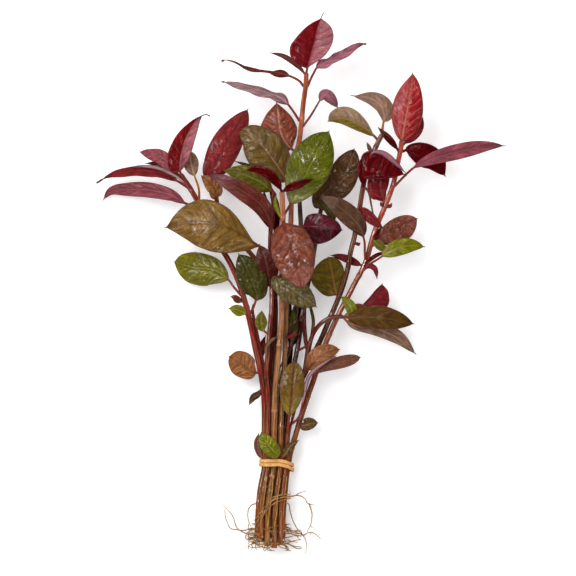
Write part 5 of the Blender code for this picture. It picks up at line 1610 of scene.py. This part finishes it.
@dataclass
class Roots:
    """The rootlets: four groups of long ones, and the mat over the cut ends.

    The mat's strands start anywhere between mat_low and mat_high, turn by up to turn at each step of
    stride along x and y, sink or rise a little, and stay between edge_low and edge_high.
    """

    radius: float = 0.31
    wander: float = 0.35
    hairs: float = 0.04
    path_points: int = 50
    seed: int = 3
    mat_strands: int = 70
    mat_seed: int = 5
    mat_points: int = 24
    mat_steps: tuple[int, int] = (3, 6)
    mat_low: Point = (-15.5, -117.0, 1.2)
    mat_high: Point = (-0.5, -108.0, 9.5)
    edge_low: Point = (-18.0, -119.0, 0.7)
    edge_high: Point = (6.0, -107.0, 10.0)
    turn: float = 0.7
    stride: tuple[float, float] = (2.4, 1.2)
    sink: float = 1.4
    rise: float = 0.9
    lowest: float = 0.02

    def finish(self) -> bpy.types.Material:
        """Make the roots' tan and brown, in patches, dull and uneven.

        Returns:
            The material.
        """
        paint = Paint("rootlets", Specular_IOR_Level=0.3)
        patches = paint.noise(3.5, 3.0)
        colour = paint.blend(patches, (176, 132, 76), (134, 94, 46))
        colour = paint.blend(paint.noise(0.8).step(0.6, 0.0) * 0.5, colour, (84, 54, 26))
        return paint.finish(colour, patches.between(0.5, 0.75), patches * 0.05)

    def mat(self) -> list[list[Vector]]:
        """Draw the short curling rootlets over the cut ends of the stems.

        Returns:
            Their paths, in metres.
        """
        draw = random.Random(self.mat_seed)
        paths = []
        for _ in range(self.mat_strands):
            place = [draw.uniform(low, high) for low, high in zip(self.mat_low, self.mat_high)]
            heading = draw.uniform(0.0, 2 * math.pi)
            points = [place]
            for _ in range(draw.randint(*self.mat_steps)):
                heading += draw.uniform(-self.turn, self.turn)
                along, across = self.stride
                drop = draw.uniform(-self.sink, self.rise)
                step = (along * math.cos(heading), across * math.sin(heading), drop)
                place = np.clip(np.add(place, step), self.edge_low, self.edge_high)
                points.append(place)
            paths.append(world_route(points, self.mat_points))
        return paths

    def build(self) -> list[bpy.types.Object]:
        """Grow and dress the roots.

        Returns:
            The pieces.
        """
        growth = RootGrowth()
        material = self.finish()
        pieces = []
        for index, (name, routes) in enumerate(ROOTLETS.items()):
            paths = [world_route(route, self.path_points) for route in routes]
            if name == "root_mat":
                paths += self.mat()
            piece = growth.grow("skin_" + name, paths, {
                "Radius": self.radius * MM, "Wander": self.wander * MM, "Hairs": self.hairs,
                "Seed": index + self.seed, "Finish": material,
            })
            self.settle(piece)
            pieces.append(hand_over(piece, name))
        return pieces

    def settle(self, piece: bpy.types.Object) -> None:
        """Press what would reach under the surface back up to it."""
        for vertex in piece.data.vertices:
            vertex.co.z = max(vertex.co.z, self.lowest * MM)


@dataclass
class Studio:
    """The pale surface, the soft light and the camera above."""

    camera_height: float = 2.5
    frame_width: float = 259.2
    frame_level: float = 20.0
    sensor: float = 36.0
    floor_size: float = 4.0
    floor_depth: float = 0.02
    floor_colour: Point = (0.86, 0.86, 0.865)
    floor_glow: float = 0.24
    light_above: float = 0.6
    light_beside: float = 1.14
    soft_key: tuple[Point, tuple[float, float], float] = ((-0.45, 0.38, 0.82), (0.7, 0.7), 8.2)
    glint_lamps: tuple[tuple[str, Point, tuple[float, float], float], ...] = (
        ("glint_left", (-0.54, 0.1, 0.83), (0.05, 0.4), 3.6),
        ("glint_low", (0.14, -0.56, 0.82), (0.08, 0.08), 1.4),
        ("glint_top", (0.12, 0.6, 0.8), (0.08, 0.08), 1.0),
    )

    def floor(self) -> None:
        """Lay the surface."""
        bpy.ops.mesh.primitive_plane_add(size=self.floor_size, location=(0.0, 0.0, -self.floor_depth * MM))
        floor = bpy.context.object
        floor.name = "floor"
        paint = Paint("floor", Roughness=0.9, Specular_IOR_Level=0.0, Emission_Strength=self.floor_glow)
        paint.surface.inputs["Base Color"].default_value = (*self.floor_colour, 1.0)
        paint.surface.inputs["Emission Color"].default_value = (1.0, 1.0, 1.0, 1.0)
        floor.data.materials.append(paint.material)
        floor.visible_glossy = False

    def lamp(self, name: str, place: Point, size: tuple[float, float], power: float,
             glints: bool) -> None:
        """Hang a lamp that faces the middle of the bunch.

        Args:
            name: its name.
            place: where it hangs, in metres.
            size: its width and height in metres.
            power: its power in watts.
            glints: whether it makes glints only, or shading only.
        """
        data = bpy.data.lights.new(name, "AREA")
        data.shape = "RECTANGLE"
        data.size, data.size_y = size
        data.energy = power
        lamp = bpy.data.objects.new(name, data)
        lamp.location = place
        lamp.rotation_euler = (-Vector(place)).to_track_quat("-Z", "Y").to_euler()
        lamp.visible_diffuse = not glints
        lamp.visible_glossy = glints
        bpy.context.scene.collection.objects.link(lamp)

    def sky(self) -> None:
        """Surround the bunch with light that is bright from the sides and dark from above."""
        world = bpy.data.worlds.new("studio")
        bpy.context.scene.world = world
        world.use_nodes = True
        nodes = NodeWriter(world.node_tree)
        direction = nodes.add("ShaderNodeTexCoord", output="Generated")
        height = nodes.add("ShaderNodeSeparateXYZ", None, {0: direction}).out("Z")
        strength = height.step(0.9, 0.5).between(self.light_above, self.light_beside)
        background = world.node_tree.nodes["Background"]
        background.inputs["Color"].default_value = (1.0, 1.0, 1.0, 1.0)
        world.node_tree.links.new(strength.socket, background.inputs["Strength"])
        world.cycles_visibility.glossy = False

    def camera(self) -> None:
        """Hang the camera straight above, looking down, with +Y up in the picture."""
        data = bpy.data.cameras.new("camera")
        data.sensor_width = self.sensor
        data.lens = self.sensor * (self.camera_height / MM - self.frame_level) / self.frame_width
        camera = bpy.data.objects.new("camera", data)
        camera.location = in_world((0.0, 0.0, self.camera_height / MM))
        bpy.context.scene.collection.objects.link(camera)
        bpy.context.scene.camera = camera

    def build(self) -> None:
        """Set up the studio."""
        self.floor()
        self.sky()
        self.lamp("soft_key", *self.soft_key, False)
        for name, place, size, power in self.glint_lamps:
            self.lamp(name, place, size, power, True)
        self.camera()
        bpy.context.scene.view_settings.view_transform = "Standard"


def main() -> None:
    """Build the studio and the bunch."""
    Studio().build()
    bundle = Bundle()
    stems = bundle.build()
    leaves = Foliage(bundle).build()
    band = RubberBand().build()
    roots = Roots().build()
    log.info("%d pieces", len(stems) + len(leaves) + len(roots) + len([band]))


if __name__ == "__main__":
    main()
